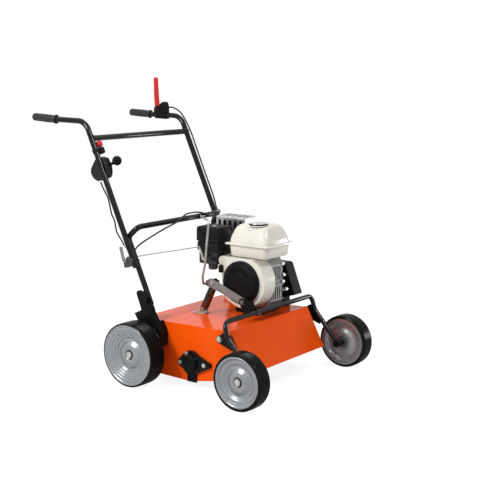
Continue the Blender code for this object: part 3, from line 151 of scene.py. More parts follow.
# %% Paints
ORANGE = finish("deck_orange_coat", (0.90, 0.094, 0.003), (0.84, 0.080, 0.0025), (0.14, 0.24),
                patch=9, grain=420, relief=0.10, depth=0.00008, Specular_IOR_Level=0.04,
                Coat_Weight=0.20, Coat_Roughness=0.04, Coat_IOR=1.22)
TUBE_BLACK = finish("tube_black_coat", (0.004, 0.004, 0.0042), (0.007, 0.0065, 0.006), (0.04, 0.08),
                    patch=14, grain=600, relief=0.04, depth=0.00004, Specular_IOR_Level=0.26)
PLATE_BLACK = finish("plate_black_coat", (0.004, 0.004, 0.0042), (0.008, 0.0075, 0.007),
                     (0.26, 0.42), patch=18, grain=520, relief=0.16, depth=0.00010,
                     Specular_IOR_Level=0.09)
CREAM = finish("tank_cream_enamel", (0.74, 0.716, 0.650), (0.71, 0.684, 0.615), (0.14, 0.24),
               patch=8, grain=380, relief=0.06, depth=0.00006, Specular_IOR_Level=0.30,
               Coat_Weight=0.3, Coat_Roughness=0.04)
WHEEL = finish("wheel_silver_paint", (0.300, 0.313, 0.325), (0.262, 0.273, 0.284), (0.20, 0.30),
               metal=0.55, patch=9, grain=1400, relief=0.04, depth=0.00005, Coat_Weight=0.12,
               Coat_Roughness=0.22)
RED = finish("lever_red_plastic", (0.60, 0.020, 0.018), (0.50, 0.015, 0.014), (0.24, 0.38),
             patch=30, grain=1100, relief=0.14, depth=0.00008, Specular_IOR_Level=0.3)
print("paints:", len(bpy.data.materials))

# %% [markdown]
# A mould for plastic is etched, which leaves a fine texture, so plastic gets a stronger grain and no
# coat. Rubber greys a little where it is rubbed: its raised edges take a lighter tone, found by the
# Pointiness of the surface. The grips are softer and duller than the tyres.

# %% Plastics and rubbers
PLASTIC = finish("moulded_black_plastic", (0.0045, 0.0043, 0.004), (0.009, 0.0085, 0.008),
                 (0.34, 0.52), patch=26, grain=1500, relief=0.35, depth=0.00012,
                 edge=(0.024, 0.023, 0.022), Specular_IOR_Level=0.07)
DARK_GREY = finish("knob_grey_plastic", (0.050, 0.049, 0.050), (0.065, 0.064, 0.065), (0.34, 0.5),
                   patch=40, grain=1300, relief=0.3, depth=0.0001, Specular_IOR_Level=0.2)
TYRE = finish("tyre_rubber", (0.003, 0.003, 0.003), (0.006, 0.0055, 0.005), (0.16, 0.26), patch=20,
              grain=900, relief=0.16, depth=0.00010, edge=(0.010, 0.0095, 0.009),
              Specular_IOR_Level=0.07)
GRIP = finish("grip_rubber", (0.012, 0.012, 0.012), (0.020, 0.019, 0.018), (0.45, 0.66), patch=45,
              grain=1200, relief=0.5, depth=0.0002, edge=(0.040, 0.039, 0.038),
              Specular_IOR_Level=0.25, Sheen_Weight=0.10)
SHEATH = finish("cable_sheath", (0.008, 0.008, 0.008), (0.014, 0.014, 0.014), (0.28, 0.42), patch=60,
                grain=1000, relief=0.2, depth=0.0001, Specular_IOR_Level=0.25)
print("paints, plastics and rubbers:", len(bpy.data.materials))

# %% [markdown]
# The bare metals are the last group. The engine block is die-cast and sand rough, the bolts are zinc
# plated with a faint yellow drift, and the link is the same with a dull skin. The rotor and the rod
# are drawn steel, whose grain is stretched along one direction. The post is darker, and the
# carburettor is nearly black with light edges. The dark guard over the muffler gets a bright steel
# colour, a painted highlight for the light on its top.

# %% Metals
ALLOY = finish("cast_alloy", (0.19, 0.19, 0.187), (0.12, 0.12, 0.118), (0.38, 0.60), metal=0.75,
               patch=40, grain=650, relief=0.7, depth=0.0003, edge=(0.58, 0.58, 0.56))
ZINC = finish("zinc_plate", (0.62, 0.62, 0.60), (0.50, 0.49, 0.45), (0.24, 0.42), metal=0.9,
              patch=55, grain=1200, relief=0.25, depth=0.00008)
LINK = finish("link_dull_zinc", (0.30, 0.29, 0.28), (0.22, 0.215, 0.21), (0.38, 0.55), metal=0.8,
              patch=35, grain=900, relief=0.3, depth=0.0001, stretch=(1, 1, 5))
STEEL = finish("drawn_steel", (0.50, 0.50, 0.49), (0.38, 0.375, 0.36), (0.26, 0.44), metal=1.0,
               patch=30, grain=1500, relief=0.3, depth=0.00008, stretch=(8, 1, 1))
POST = finish("post_dark_steel", (0.20, 0.19, 0.18), (0.15, 0.14, 0.135), (0.16, 0.28), metal=1.0,
              patch=30, grain=900, relief=0.2, depth=0.00006)
# The muffler guard's bright steel colour is a painted highlight: the guard itself is dark.
GUARD_PAINTED_HIGHLIGHT = finish("guard_steel_painted_highlight", (0.70, 0.70, 0.69), (0.52, 0.51, 0.50), (0.20, 0.36), metal=1.0,
               patch=35, grain=900, relief=0.25, depth=0.00008)
DARK_METAL = finish("carburettor_alloy", (0.026, 0.026, 0.025), (0.014, 0.014, 0.0135), (0.40, 0.6),
                    metal=0.3, patch=50, grain=800, relief=0.6, depth=0.0002,
                    edge=(0.16, 0.16, 0.155))
print("finishes in all:", len(bpy.data.materials))

# %% [markdown]
# ## Finishes for the CAD nodes
# Each node carries the record's material slot, so one loop gives each its finish by its slot, with
# four exceptions by name. Sheet and cast edges are never knife sharp. A weld and a bevel modifier
# round them without touching the mesh itself, which leaves the frame as it was packed.

# %% Dress the nodes
BY_SLOT = {"orange_paint": ORANGE, "black_paint": PLATE_BLACK, "black_plastic": PLASTIC,
           "cable_sheath": SHEATH, "belt_rubber": TYRE, "grip_rubber": GRIP, "tyre_rubber": TYRE,
           "wheel_paint": WHEEL, "bare_steel": STEEL, "zinc_plate": ZINC, "cast_alloy": ALLOY,
           "tank_paint": CREAM, "red_plastic": RED, "grey_plastic": DARK_GREY}
SPECIAL = {"adjust_link": LINK, "depth_post": POST, "carburettor": DARK_METAL,
           "muffler_guard": GUARD_PAINTED_HIGHLIGHT}


def dress(node, mat):
    piece = frame["nodes"][node]
    if not piece.material_slots:
        piece.data.materials.append(mat)
    for slot in piece.material_slots:
        slot.material = mat


for part in frame["record"]["subparts"]:
    dress(part["node"], SPECIAL.get(part["node"], BY_SLOT[part["material_slot"]]))


# %% Round the edges
def round_edges(ob, width, steps, angle):
    bevel = ob.modifiers.new("round", "BEVEL")
    bevel.width, bevel.segments = width, steps
    bevel.limit_method, bevel.angle_limit = "ANGLE", math.radians(angle)
    bevel.harden_normals = True


EASED = {"deck_housing": 0.0008, "front_panel": 0.0008, "belt_guard": 0.0015,
         "bearing_housing_left": 0.0008, "bearing_housing_right": 0.0008,
         "handle_bracket_left": 0.0006, "handle_bracket_right": 0.0006, "crankcase": 0.0012,
         "cylinder": 0.0004, "carburettor": 0.0008, "lever_housing": 0.0008,
         "throttle_housing": 0.0008, "stop_switch": 0.0005, "depth_post": 0.0006,
         "adjust_link": 0.0006, "post_foot": 0.0004, "engine_mount": 0.0010, "muffler": 0.0015,
         "rear_flap": 0.0004, "governor_lever": 0.0003, "choke_lever": 0.0005,
         "fuel_lever": 0.0005, "oil_cap": 0.0006}
for node, width in EASED.items():
    weld = frame["nodes"][node].modifiers.new("join", "WELD")
    weld.merge_threshold = 0.00001
    round_edges(frame["nodes"][node], width, 2, 30)
print("rounded:", len(EASED), "nodes")

# %% [markdown]
# ## Tools for the finer pieces
# Turned parts are outlines spun about an axis, bent tubes are rings carried along a path, and plates
# are outlines with thickness. These three shapes make almost the whole machine. Everything is built
# where it belongs, in metres, so no piece is moved later.

# %% Turned parts and pins
def spin(outline, at, along=(1, 0, 0), sides=96, loop=False):
    """Outline of (distance, radius) pairs turned about the axis through at."""
    bm = bmesh.new()
    rings = []
    for t, r in outline:
        turns = [2 * math.pi * (i + 0.5) / sides for i in range(sides)] if r > 1e-7 else [0.0]
        rings.append([bm.verts.new((t, r * math.cos(a), r * math.sin(a))) for a in turns])
    for a, b in list(zip(rings, rings[1:])) + ([(rings[-1], rings[0])] if loop else []):
        for i in range(sides):
            j = i + 1
            ring = (a[i % len(a)], a[j % len(a)], b[j % len(b)], b[i % len(b)])
            ring = list(dict.fromkeys(ring))
            if len(ring) > 2:
                bm.faces.new(ring)
    turn = Vector((1, 0, 0)).rotation_difference(Vector(along)).to_matrix()
    bmesh.ops.rotate(bm, verts=bm.verts, cent=(0, 0, 0), matrix=turn)
    bmesh.ops.translate(bm, verts=bm.verts, vec=at)
    bmesh.ops.recalc_face_normals(bm, faces=bm.faces)
    return bm


def pin(at, along, radius, length, sides=20):
    return spin([(0, 0), (0, radius), (length, radius), (length, 0)], at, along, sides)


WASHER = 0.0012


def bolt(at, along, size=0.0068, tall=0.0050, washer=0.0095):
    """Hexagon head with a turned chamfer, on its washer. at is the washer's face."""
    base = Vector(at) + Vector(along).normalized() * WASHER
    ring = spin([(0, 0), (0, washer), (WASHER, washer), (WASHER, 0)], at, along, 36)
    head = [(0, 0), (0, size), (tall - 0.0009, size), (tall, size * 0.86), (tall, 0)]
    return [ring, spin(head, base, along, 6)]


print("spin, pin and bolt turn an outline about an axis")


# %% Skins, tubes and plates
def skin(rings):
    """Closed surface through rings of one count, with a face over each end."""
    bm = bmesh.new()
    loops = [[bm.verts.new(p) for p in ring] for ring in rings]
    for a, b in zip(loops, loops[1:]):
        for i in range(len(a)):
            j = (i + 1) % len(a)
            bm.faces.new((a[i], a[j], b[j], b[i]))
    bm.faces.new(loops[0])
    bm.faces.new(loops[-1])
    bmesh.ops.recalc_face_normals(bm, faces=bm.faces)
    return bm


def sweep(path, radius, sides=28):
    """Round tube along the path. radius is one number, or one for each point."""
    path = [Vector(p) for p in path]
    radii = radius if isinstance(radius, list) else [radius] * len(path)
    side = (path[1] - path[0]).orthogonal().normalized()
    rings = []
    for i, (p, r) in enumerate(zip(path, radii)):
        way = (path[min(i + 1, len(path) - 1)] - path[max(i - 1, 0)]).normalized()
        side = (side - way * side.dot(way)).normalized()
        other = way.cross(side)
        turns = [2 * math.pi * k / sides for k in range(sides)]
        rings.append([p + (side * math.cos(a) + other * math.sin(a)) * r for a in turns])
    return skin(rings)


def plate(outline, low, high, axis="X"):
    """Flat outline given a thickness along X, or along Y."""
    if axis == "X":
        return skin([[(w, u, v) for u, v in outline] for w in (low, high)])
    return skin([[(u, w, v) for u, v in outline] for w in (low, high)])


def block(u0, u1, v0, v1, low, high, axis="X"):
    return plate([(u0, v0), (u1, v0), (u1, v1), (u0, v1)], low, high, axis)


print("skin, sweep, plate and block close a surface over rings")

# %% [markdown]
# The outlines themselves come from arcs. A bent tube keeps its corners at one radius, as a bender
# leaves them, while a cable flows freely through the places where it is tied.

# %% Outlines and routes
def arc(cu, cv, r, start, end, steps):
    turns = [math.radians(start + (end - start) * i / steps) for i in range(steps + 1)]
    return [(cu + r * math.cos(a), cv + r * math.sin(a)) for a in turns]


def rounded(u0, u1, v0, v1, r, steps=10):
    """Rectangle with round corners."""
    corners = ((u1 - r, v1 - r, 0), (u0 + r, v1 - r, 90), (u0 + r, v0 + r, 180),
               (u1 - r, v0 + r, 270))
    return [p for cu, cv, a in corners for p in arc(cu, cv, r, a, a + 90, steps)]


def flow(route, steps=8):
    """Smooth curve through the route's points."""
    route = [Vector(p) for p in route]
    route = [2 * route[0] - route[1]] + route + [2 * route[-1] - route[-2]]
    points = []
    for a, b, c, d in zip(route, route[1:], route[2:], route[3:]):
        for t in (i / steps for i in range(steps)):
            points.append(0.5 * (2 * b + (c - a) * t + (2 * a - 5 * b + 4 * c - d) * t * t
                                 + (3 * b - a - 3 * c + d) * t ** 3))
    return points + [route[-2]]


def bend(corners, radius, steps=14):
    """Path with its corners rounded, as a tube bender leaves them."""
    corners = [Vector(c) for c in corners]
    path = [corners[0]]
    for a, b, c in zip(corners, corners[1:], corners[2:]):
        u, v = (a - b).normalized(), (c - b).normalized()
        if u.dot(v) < -0.99999:
            path.append(b)
            continue
        half = u.angle(v) / 2
        cut = min(radius / math.tan(half), 0.49 * (a - b).length, 0.49 * (c - b).length)
        reach = cut * math.tan(half)
        centre = b + (u + v).normalized() * (reach / math.sin(half))
        p, q = b + u * cut - centre, b + v * cut - centre
        path += [centre + p.slerp(q, i / steps).normalized() * reach for i in range(steps + 1)]
    return path + [corners[-1]]


print("arc and rounded give outlines, flow and bend give routes")

# %% [markdown]
# A piece is finished in one place: its parts become one mesh, it gets its paint, its edges are
# rounded, and it rides on the CAD body that carries it. Where it stands for a CAD node, that node is
# hidden from view and stays only in the motion model.

# %% Helper that finishes a piece
made = []


def piece(name, parts, mat, body, instead=(), slot=None, edge=0.0, steps=3, crease=32):
    whole, mesh = bmesh.new(), bpy.data.meshes.new(name)
    for part in parts:
        part.to_mesh(mesh)
        whole.from_mesh(mesh)
        part.free()
    whole.to_mesh(mesh)
    whole.free()
    mesh.materials.append(mat)
    mesh.shade_smooth()
    ob = bpy.data.objects.new(name, mesh)
    bpy.context.scene.collection.objects.link(ob)
    if edge:
        round_edges(ob, edge, steps, crease)
    else:
        mesh.set_sharp_from_angle(angle=math.radians(crease))
    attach(ob, body)
    if instead:
        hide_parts(*instead)
    made.append(name)


print("a piece is named, painted and put on its body in one call")

# %% [markdown]
# ## Wheels
# Each wheel is a pressed steel disc with a solid rubber tyre. The disc rises to a dome round the hub,
# sinks to a dish and comes back out over shallow steps to the lip. That is one outline spun about the
# axle, read through a smooth curve, so that the steps have the round shoulders of pressed sheet.

# %% Wheel outlines
FRONT_HUB, REAR_HUB = (-0.492, 0.105), (0.011, 0.123)
WHEELS = {
    "front": {
        "hub": FRONT_HUB, "radius": 0.105, "lip": 0.0930, "out": 0.3835, "inn": 0.3195,
        "cap": 0.0030, "ribs": 11,
        "face": [(0.0125, 0.0148), (0.0098, 0.0168), (0.0078, 0.0215), (0.0076, 0.0290),
                 (0.0098, 0.0365), (0.0142, 0.0435), (0.0178, 0.0490), (0.0190, 0.0540),
                 (0.0180, 0.0590), (0.0146, 0.0630), (0.0116, 0.0672), (0.0098, 0.0715),
                 (0.0090, 0.0755), (0.0092, 0.0790), (0.0060, 0.0818), (0.0022, 0.0850),
                 (0.0004, 0.0878), (0.0002, 0.0902), (0.0008, 0.0922), (0.0022, 0.0930)]},
    "rear": {
        "hub": REAR_HUB, "radius": 0.123, "lip": 0.1158, "out": 0.3965, "inn": 0.3185,
        "cap": 0.0090, "ribs": 13,
        "face": [(0.0185, 0.0148), (0.0152, 0.0170), (0.0122, 0.0225), (0.0118, 0.0310),
                 (0.0142, 0.0400), (0.0196, 0.0480), (0.0238, 0.0540), (0.0250, 0.0590),
                 (0.0236, 0.0640), (0.0198, 0.0670), (0.0176, 0.0712), (0.0172, 0.0748),
                 (0.0140, 0.0775), (0.0122, 0.0815), (0.0120, 0.0850), (0.0090, 0.0876),
                 (0.0076, 0.0915), (0.0074, 0.0950), (0.0050, 0.0975), (0.0040, 0.1015),
                 (0.0040, 0.1060), (0.0014, 0.1095), (0.0002, 0.1125), (0.0006, 0.1148),
                 (0.0024, 0.1158)]},
}
BORE, HUB_TUBE, SHEET = 0.0087, 0.0165, 0.0034


def turned(outline, kind, sign, sides=96, loop=False):
    """Outline measured outwards from the middle of the machine, turned about a wheel's axle."""
    return spin([(sign * t, r) for t, r in outline], (0, *WHEELS[kind]["hub"]), sides=sides,
                loop=loop)


def disc(kind, sign):
    """Pressed disc: the face, the tyre channel behind it and the hub tube."""
    w = WHEELS[kind]
    out, inn, lip = w["out"], w["inn"], w["lip"]
    channel = lip - 0.009
    face = [(out - p.x, p.y) for p in flow(w["face"], 5)]
    deep = out - max(d for d, _ in w["face"]) - 0.0035
    back = flow([(0.0004, channel - 0.0030), (0.0020, channel - 0.0075), (0.0082, channel - 0.0120),
                 (0.0104, channel - 0.0180), (0.0100, 0.0560), (0.0062, 0.0450), (0.0038, 0.0380),
                 (0.0030, 0.0300), (0.0030, 0.0210)], 5)
    outline = face + [(out - SHEET, channel), (inn + SHEET, channel), (inn + 0.0024, lip), (inn, lip)]
    outline += [(inn + p.x, p.y) for p in back]
    outline += [(inn + 0.0055, 0.0210), (inn + 0.0065, 0.0390), (inn + 0.0130, 0.0560),
                (inn + 0.0130, channel - 0.0130), (inn + 0.0060, channel - 0.0040),
                (deep, channel - 0.004), (deep, 0.030), (deep - 0.002, 0.019), (inn, HUB_TUBE),
                (inn, BORE), (out - 0.0150, BORE)]
    return turned(outline, kind, sign, loop=True)


print("disc outlines:", {k: len(w["face"]) for k, w in WHEELS.items()})

# %% [markdown]
# The tyre has fine ribs round its tread: the light on it breaks into short stripes. The outline
# steps up and down across the width, and the shoulders stay smooth. The cap over the axle's end is
# turned too, and a washer sits behind its rim.

# %% Tyre and hub cap
def tyre(kind, sign):
    w = WHEELS[kind]
    out, inn, lip, top = w["out"], w["inn"], w["lip"], w["radius"]
    channel, low_wall, high_wall = lip - 0.0087, lip + 0.40 * (top - lip), lip + 0.80 * (top - lip)
    outline = [(inn + 0.0040, channel), (inn + 0.0034, lip + 0.0004), (inn + 0.0010, lip + 0.0016),
               (inn + 0.0008, low_wall), (inn + 0.0030, high_wall), (inn + 0.0070, top * 0.9940)]
    first, last, count = inn + 0.0095, out - 0.0095, w["ribs"]
    pitch = (last - first) / count
    for i in range(count):
        t = first + i * pitch
        crown = top - 0.0006 * (2 * (i + 0.5) / count - 1) ** 2
        outline += [(t, crown - 0.0014), (t + 0.22 * pitch, crown), (t + 0.78 * pitch, crown)]
    outline += [(last, top * 0.9870), (out - 0.0070, top * 0.9940), (out - 0.0030, high_wall),
                (out - 0.0008, low_wall), (out - 0.0010, lip + 0.0016),
                (out - 0.0034, lip + 0.0004), (out - 0.0040, channel)]
    return turned(outline, kind, sign, sides=128, loop=True)


def hub_cap(kind, sign):
    """Turned cap over the axle's end: a rim, a groove and a low dome with a dimple."""
    w = WHEELS[kind]
    lip, top = w["out"] - 0.0150, w["out"] - w["cap"]
    outline = [(lip, 0), (lip, 0.0132), (top - 0.0042, 0.0136), (top - 0.0022, 0.0130),
               (top - 0.0016, 0.0112), (top - 0.0034, 0.0104), (top - 0.0034, 0.0092),
               (top - 0.0010, 0.0082), (top, 0.0050), (top - 0.0002, 0.0026), (top - 0.0012, 0.0)]
    return turned(outline, kind, sign, sides=64)


def hub_washer(kind, sign):
    w = WHEELS[kind]
    outline = [(-0.0060, 0.0130), (-0.0030, 0.0176), (-0.0018, 0.0172), (-0.0010, 0.0150),
               (-0.0014, 0.0130)]
    return spin(outline, (sign * (w["out"] - w["cap"] - 0.0030), *w["hub"]), (sign, 0, 0), 64, True)


for sign, side in ((-1, "right"), (1, "left")):
    for kind in WHEELS:
        body, tail = f"{kind}_wheel_{side}", f"{kind}_{side}"
        piece(f"disc_{tail}", [disc(kind, sign)], WHEEL, body, [f"rim_{tail}"], "wheel_paint")
        piece(f"ribbed_tyre_{tail}", [tyre(kind, sign)], TYRE, body, [f"tyre_{tail}"],
              "tyre_rubber", crease=28)
        piece(f"hub_cap_{tail}", [hub_cap(kind, sign)], ZINC, body, slot="zinc_plate", crease=40)
        piece(f"hub_washer_{tail}", [hub_washer(kind, sign)], PLASTIC, body,
              slot="black_plastic", crease=40)
print("wheel pieces:", len(made))

# %% [markdown]
# ## Front axle
# A bent tube carries both front wheels. Its ears pivot on the deck, so lowering the tube lifts the
# nose and sets the cutting depth. The tube is swept along its bent path, and the plates are outlines.

# %% Bent bar of the front axle
AXLE_PIVOT = (-0.336, 0.2155)
HALF_BAR = [(0, -0.363, 0.283), (0.287, -0.366, 0.284), (0.287, -0.382, 0.230), (0.287, *FRONT_HUB)]
bar = [(-x, y, z) for x, y, z in reversed(HALF_BAR)] + HALF_BAR[1:]
piece("bent_bar", [sweep(bend(bar, 0.045), 0.0095, 32)], TUBE_BLACK, "front_axle", ["front_axle"],
      "black_paint")
print("bar of", len(bar), "corners")

# %% Ears, stub axles and lug
LINK_X, LUG_PIN = -0.0805, (-0.299, 0.3135)
EAR = arc(*AXLE_PIVOT, 0.0145, -70, 95, 16) + [(-0.3670, 0.2500), (-0.3790, 0.2430),
                                               (-0.4220, 0.1860), (-0.4150, 0.1750)]
STUB = [(0, 0), (0, 0.0148), (0.040, 0.0148), (0.0445, 0.0135), (0.0445, 0)]
LUG = arc(*LUG_PIN, 0.0155, -60, 80, 12) + [(-0.3480, 0.3225), (-0.3720, 0.2900),
                                            (-0.3720, 0.2760), (-0.3085, 0.2680),
                                            (-0.2960, 0.2850)]
LUG_FOOT = [(-0.3750, 0.2715), (-0.3510, 0.2705), (-0.3490, 0.2950), (-0.3700, 0.2960)]
ears = []
for sign in (-1, 1):
    way = (sign, 0, 0)
    ears.append(plate(EAR, sign * 0.2735, sign * 0.2785))
    ears.append(spin(STUB, (sign * 0.274, *FRONT_HUB), way, 40))
    ears.append(pin((sign * 0.275, *FRONT_HUB), way, 0.008, 0.095, 24))
    ears.append(pin((sign * 0.2487, *AXLE_PIVOT), way, 0.0045, 0.027, 24))
ears.append(plate(LUG, LINK_X - 0.0095, LINK_X - 0.0040))
ears.append(plate(LUG_FOOT, LINK_X - 0.0095, LINK_X + 0.0120))
piece("axle_ears_and_lug", ears, PLATE_BLACK, "front_axle", slot="black_paint", edge=0.0008)
print("ears and lug:", len(ears), "shapes")

# %% Bolts of the axle
lug_face = (LINK_X - 0.0093, *LUG_PIN)
lug_bolt = bolt(lug_face, (-1, 0, 0), 0.0072, 0.0030, 0.0098)
lug_bolt.append(pin(lug_face, (1, 0, 0), 0.0042, 0.013))
piece("lug_bolt", lug_bolt, POST, "front_axle", slot="zinc_plate", crease=25)
bolts = []
for sign in (-1, 1):
    bolts += bolt((sign * 0.2784, *AXLE_PIVOT), (sign, 0, 0), 0.0088, 0.0048, 0.0112)
piece("axle_bolts", bolts, ZINC, "front_axle", slot="zinc_plate", crease=25)
print("axle pieces so far:", len(made))

# %% [markdown]
# ## Depth linkage
# A post on the deck, a flat link to the axle's lug and a long rod up to the handle make the depth
# setting. The rod is a plain steel wire bent at its ends, so it is swept along its route.

# %% Depth rod and linkage bolts
ROD_X, SLEEVE_Z = 0.11, 0.585
ROD = [(ROD_X, 0.104, SLEEVE_Z), (ROD_X, 0.046, SLEEVE_Z), (-0.125, -0.168, 0.6175),
       (-0.1120, -0.140, 0.450), (-0.1050, -0.121, 0.392), (-0.0970, -0.1180, 0.3630),
       (-0.0575, -0.1180, 0.3620)]
piece("bent_depth_rod", [sweep(bend(ROD, 0.010, 8), 0.0045, 20)], STEEL, "depth_rod",
      ["depth_rod"], "bare_steel")

POST_TOP = (-0.150, 0.368)
post_bolt = bolt((LINK_X - 0.0034, *POST_TOP), (-1, 0, 0), 0.0080, 0.0040, 0.0100)
piece("post_bolt", post_bolt, ZINC, "depth_post", slot="zinc_plate", crease=25)
feet = []
for x in (-0.0765, -0.0550):
    feet += bolt((x, -0.0655, 0.2408), (0, 0, 1), 0.0064, 0.0045, 0.0082)
piece("foot_bolts", feet, ZINC, "chassis", slot="zinc_plate", crease=25)
print("pieces so far:", len(made))

# %% [markdown]
# ## Handle
# The lower handle is one tube bent to a U, the upper one is two bent tubes with a cross bar. Glossy
# black tubes live from one thin line of light, which only a finely divided sweep keeps smooth.

# %% Tubes of the handle
TUBE, LEAN, SIDE, SPAN_Z = 0.011, 0.459, 0.2855, 0.562


def upper_y(z):
    return 0.116 + LEAN * (z - SPAN_Z)


def lower_y(z):
    return 0.126 + LEAN * (z - SPAN_Z)


LOWER = [(0.0, 0.077, 0.587), (0.250, 0.077, 0.587), (0.262, lower_y(0.545), 0.545),
         (0.262, lower_y(0.296), 0.296)]
path = [(-x, y, z) for x, y, z in reversed(LOWER)] + LOWER[1:]
sleeve = spin([(0, 0.0052), (0, 0.0085), (0.036, 0.0085), (0.036, 0.0052)],
              (ROD_X, 0.059, SLEEVE_Z), (0, 1, 0), 32, loop=True)
piece("lower_handle_tube", [sweep(bend(path, 0.024), TUBE, 32), sleeve], TUBE_BLACK, "chassis",
      ["lower_handle"], "black_paint")

BAR_ENDS = {-SIDE: 0.0135, -0.277: 0.0128, -0.273: 0.0115, 0.273: 0.0115, 0.277: 0.0128,
            SIDE: 0.0135}
GRIP_LOW, GRIP_HIGH = (0.468, 0.986), (0.591, 0.9925)
tubes = []
for x in (-SIDE, SIDE):
    path = [(x, upper_y(0.436), 0.436), (x, upper_y(0.983), 0.983), (x, *GRIP_LOW), (x, *GRIP_HIGH)]
    tubes.append(sweep(bend(path, 0.062, 20), TUBE, 32))
tubes.append(sweep([(x, 0.276, 0.919) for x in BAR_ENDS], list(BAR_ENDS.values()), 32))
piece("upper_handle_tubes", tubes, TUBE_BLACK, "upper_handle", ["upper_handle"], "black_paint")
print("pieces so far:", len(made))

# %% [markdown]
# The grips are rubber with a collar at the inner end and ridges along the palm. A turned form has no
# ridges, so the radius of each ring is waved by its angle, except near the two ends.

# %% Grips
GRIP_END, RIDGES, RIDGE = 0.5965, 16, 0.0009


def grip(side, x, inner):
    way = Vector((0, 0.123, 0.0065)).normalized()
    start = Vector((x, inner, GRIP_LOW[1] + 0.0528 * (inner - GRIP_LOW[0])))
    length = GRIP_END - inner
    steps = [(0, 0.0120), (0, 0.0162), (0.0015, 0.0178), (0.0035, 0.0184), (0.0055, 0.0178),
             (0.0080, 0.0158), (0.0120, 0.0150)]
    steps += [(0.0120 + (length - 0.024) * i / 12, 0.0150 + 0.0009 * math.sin(math.pi * i / 12))
              for i in range(1, 13)]
    steps += [(length - 0.008, 0.0156), (length - 0.004, 0.0150), (length - 0.0015, 0.0135),
              (length, 0.0105)]
    across, upright = Vector((1, 0, 0)), way.cross(Vector((1, 0, 0)))
    turns = [2 * math.pi * k / 96 for k in range(96)]
    rings = []
    for t, r in steps:
        deep = RIDGE if 0.013 < t < length - 0.010 else 0.0
        rings.append([start + way * t + (across * math.cos(a) + upright * math.sin(a))
                      * (r - deep * (0.5 + 0.5 * math.cos(RIDGES * a)) ** 3) for a in turns])
    piece(f"ridged_grip_{side}", [skin(rings)], GRIP, "upper_handle", [f"grip_{side}"],
          "grip_rubber", crease=50)


grip("right", -SIDE, GRIP_LOW[0])
grip("left", SIDE, 0.480)
print("pieces so far:", len(made))

# %% [markdown]
# ## Knobs
# Two star knobs clamp the feet of the handle, and two quick knobs clamp the fold. Each is a waved
# outline with a thick round edge. The quick knob has a pale pressed lever on its face.

# %% Knobs
def waved(cy, cz, radius, wave, lobes, count=90):
    turns = [2 * math.pi * i / count for i in range(count)]
    return [(cy + (radius + wave * math.cos(lobes * a)) * math.cos(a),
             cz + (radius + wave * math.cos(lobes * a)) * math.sin(a)) for a in turns]


FOLD, FOOT = (0.0735, 0.459), (lower_y(0.318), 0.318)
WING = [(0.0790, 0.4380), (0.0960, 0.4340), (0.1040, 0.4660), (0.0860, 0.4700)]
BLADE = [(0.0850, 0.4555), (0.1040, 0.4605), (0.1100, 0.4800), (0.1185, 0.5100), (0.1165, 0.5150),
         (0.1040, 0.5150), (0.0960, 0.4850)]


def quick_knob(sign, side):
    way, body = (sign, 0, 0), f"fold_knob_{side}"
    knob = [plate(waved(*FOLD, 0.0195, 0.0022, 5), sign * 0.3005, sign * 0.3120),
            plate(WING, sign * 0.3010, sign * 0.3100)]
    piece(f"quick_knob_{side}", knob, DARK_GREY, body, [body], "grey_plastic", edge=0.0022)
    lever = [plate(BLADE, sign * 0.3098, sign * 0.3125),
             pin((sign * 0.2500, *FOLD), way, 0.0040, 0.062)]
    lever += bolt((sign * 0.2985, *FOLD), way, 0.0060, 0.0030, 0.0100)
    piece(f"quick_lever_{side}", lever, LINK, body, slot="zinc_plate", edge=0.0006)


def star_knob(sign, side):
    way, body = (sign, 0, 0), f"foot_knob_{side}"
    knob = [plate(waved(*FOOT, 0.0160, 0.0025, 3), sign * 0.2810, sign * 0.2940),
            pin((sign * 0.2788, *FOOT), way, 0.010, 0.004, 32)]
    piece(f"star_knob_{side}", knob, PLASTIC, body, [body], "black_plastic", edge=0.0025)
    stud = pin((sign * 0.2515, *FOOT), way, 0.0040, 0.030)
    piece(f"star_stud_{side}", [stud], ZINC, body, slot="zinc_plate")


for sign, side in ((-1, "right"), (1, "left")):
    quick_knob(sign, side)
    star_knob(sign, side)
print("pieces so far:", len(made))

# %% [markdown]
# ## Controls
# The red clutch lever tips over the left grip, a throttle lever with a ball and a red stop button sit
# on the right tube. They are the parts a hand touches, so they get round edges and even skins.

# %% Clutch lever
LEVER = (0.441, 1.0115)
blade = arc(*LEVER, 0.0095, 160, 380, 24)
blade += [(0.4540, 1.030), (0.4560, 1.060), (0.4575, 1.136), (0.4566, 1.1415), (0.4540, 1.1450),
          (0.4495, 1.1465), (0.4440, 1.1462), (0.4405, 1.1440), (0.4385, 1.138), (0.4335, 1.060),
          (0.4305, 1.024)]
hinge = pin((0.2725, *LEVER), (1, 0, 0), 0.003, 0.026)
piece("red_clutch_lever", [plate(blade, 0.2807, 0.2903), hinge], RED, "clutch_lever",
      ["clutch_lever"], "red_plastic", edge=0.0018, steps=4)
print("lever outline:", len(blade), "points")

# %% Throttle lever and stop button
BALL_X, BALL = -0.2505, 0.0185
arm = arc(0.2640, 0.7940, 0.0070, -116, 64, 12) + arc(0.1865, 0.8318, 0.0055, 64, 244, 12)
piece("throttle_arm", [plate(arm, -0.2521, -0.2489)], PLASTIC, "throttle_lever",
      ["throttle_lever"], "black_plastic", edge=0.0006)
tip = Vector((0, 0.180 - 0.264, 0.835 - 0.794)).normalized()
half_turn = [math.pi * i / 32 for i in range(33)]
ball = spin([(-BALL * math.cos(a), BALL * math.sin(a)) for a in half_turn],
            (BALL_X, 0.180, 0.835), tip, 64)
piece("throttle_ball", [ball], PLASTIC, "throttle_lever", slot="black_plastic")

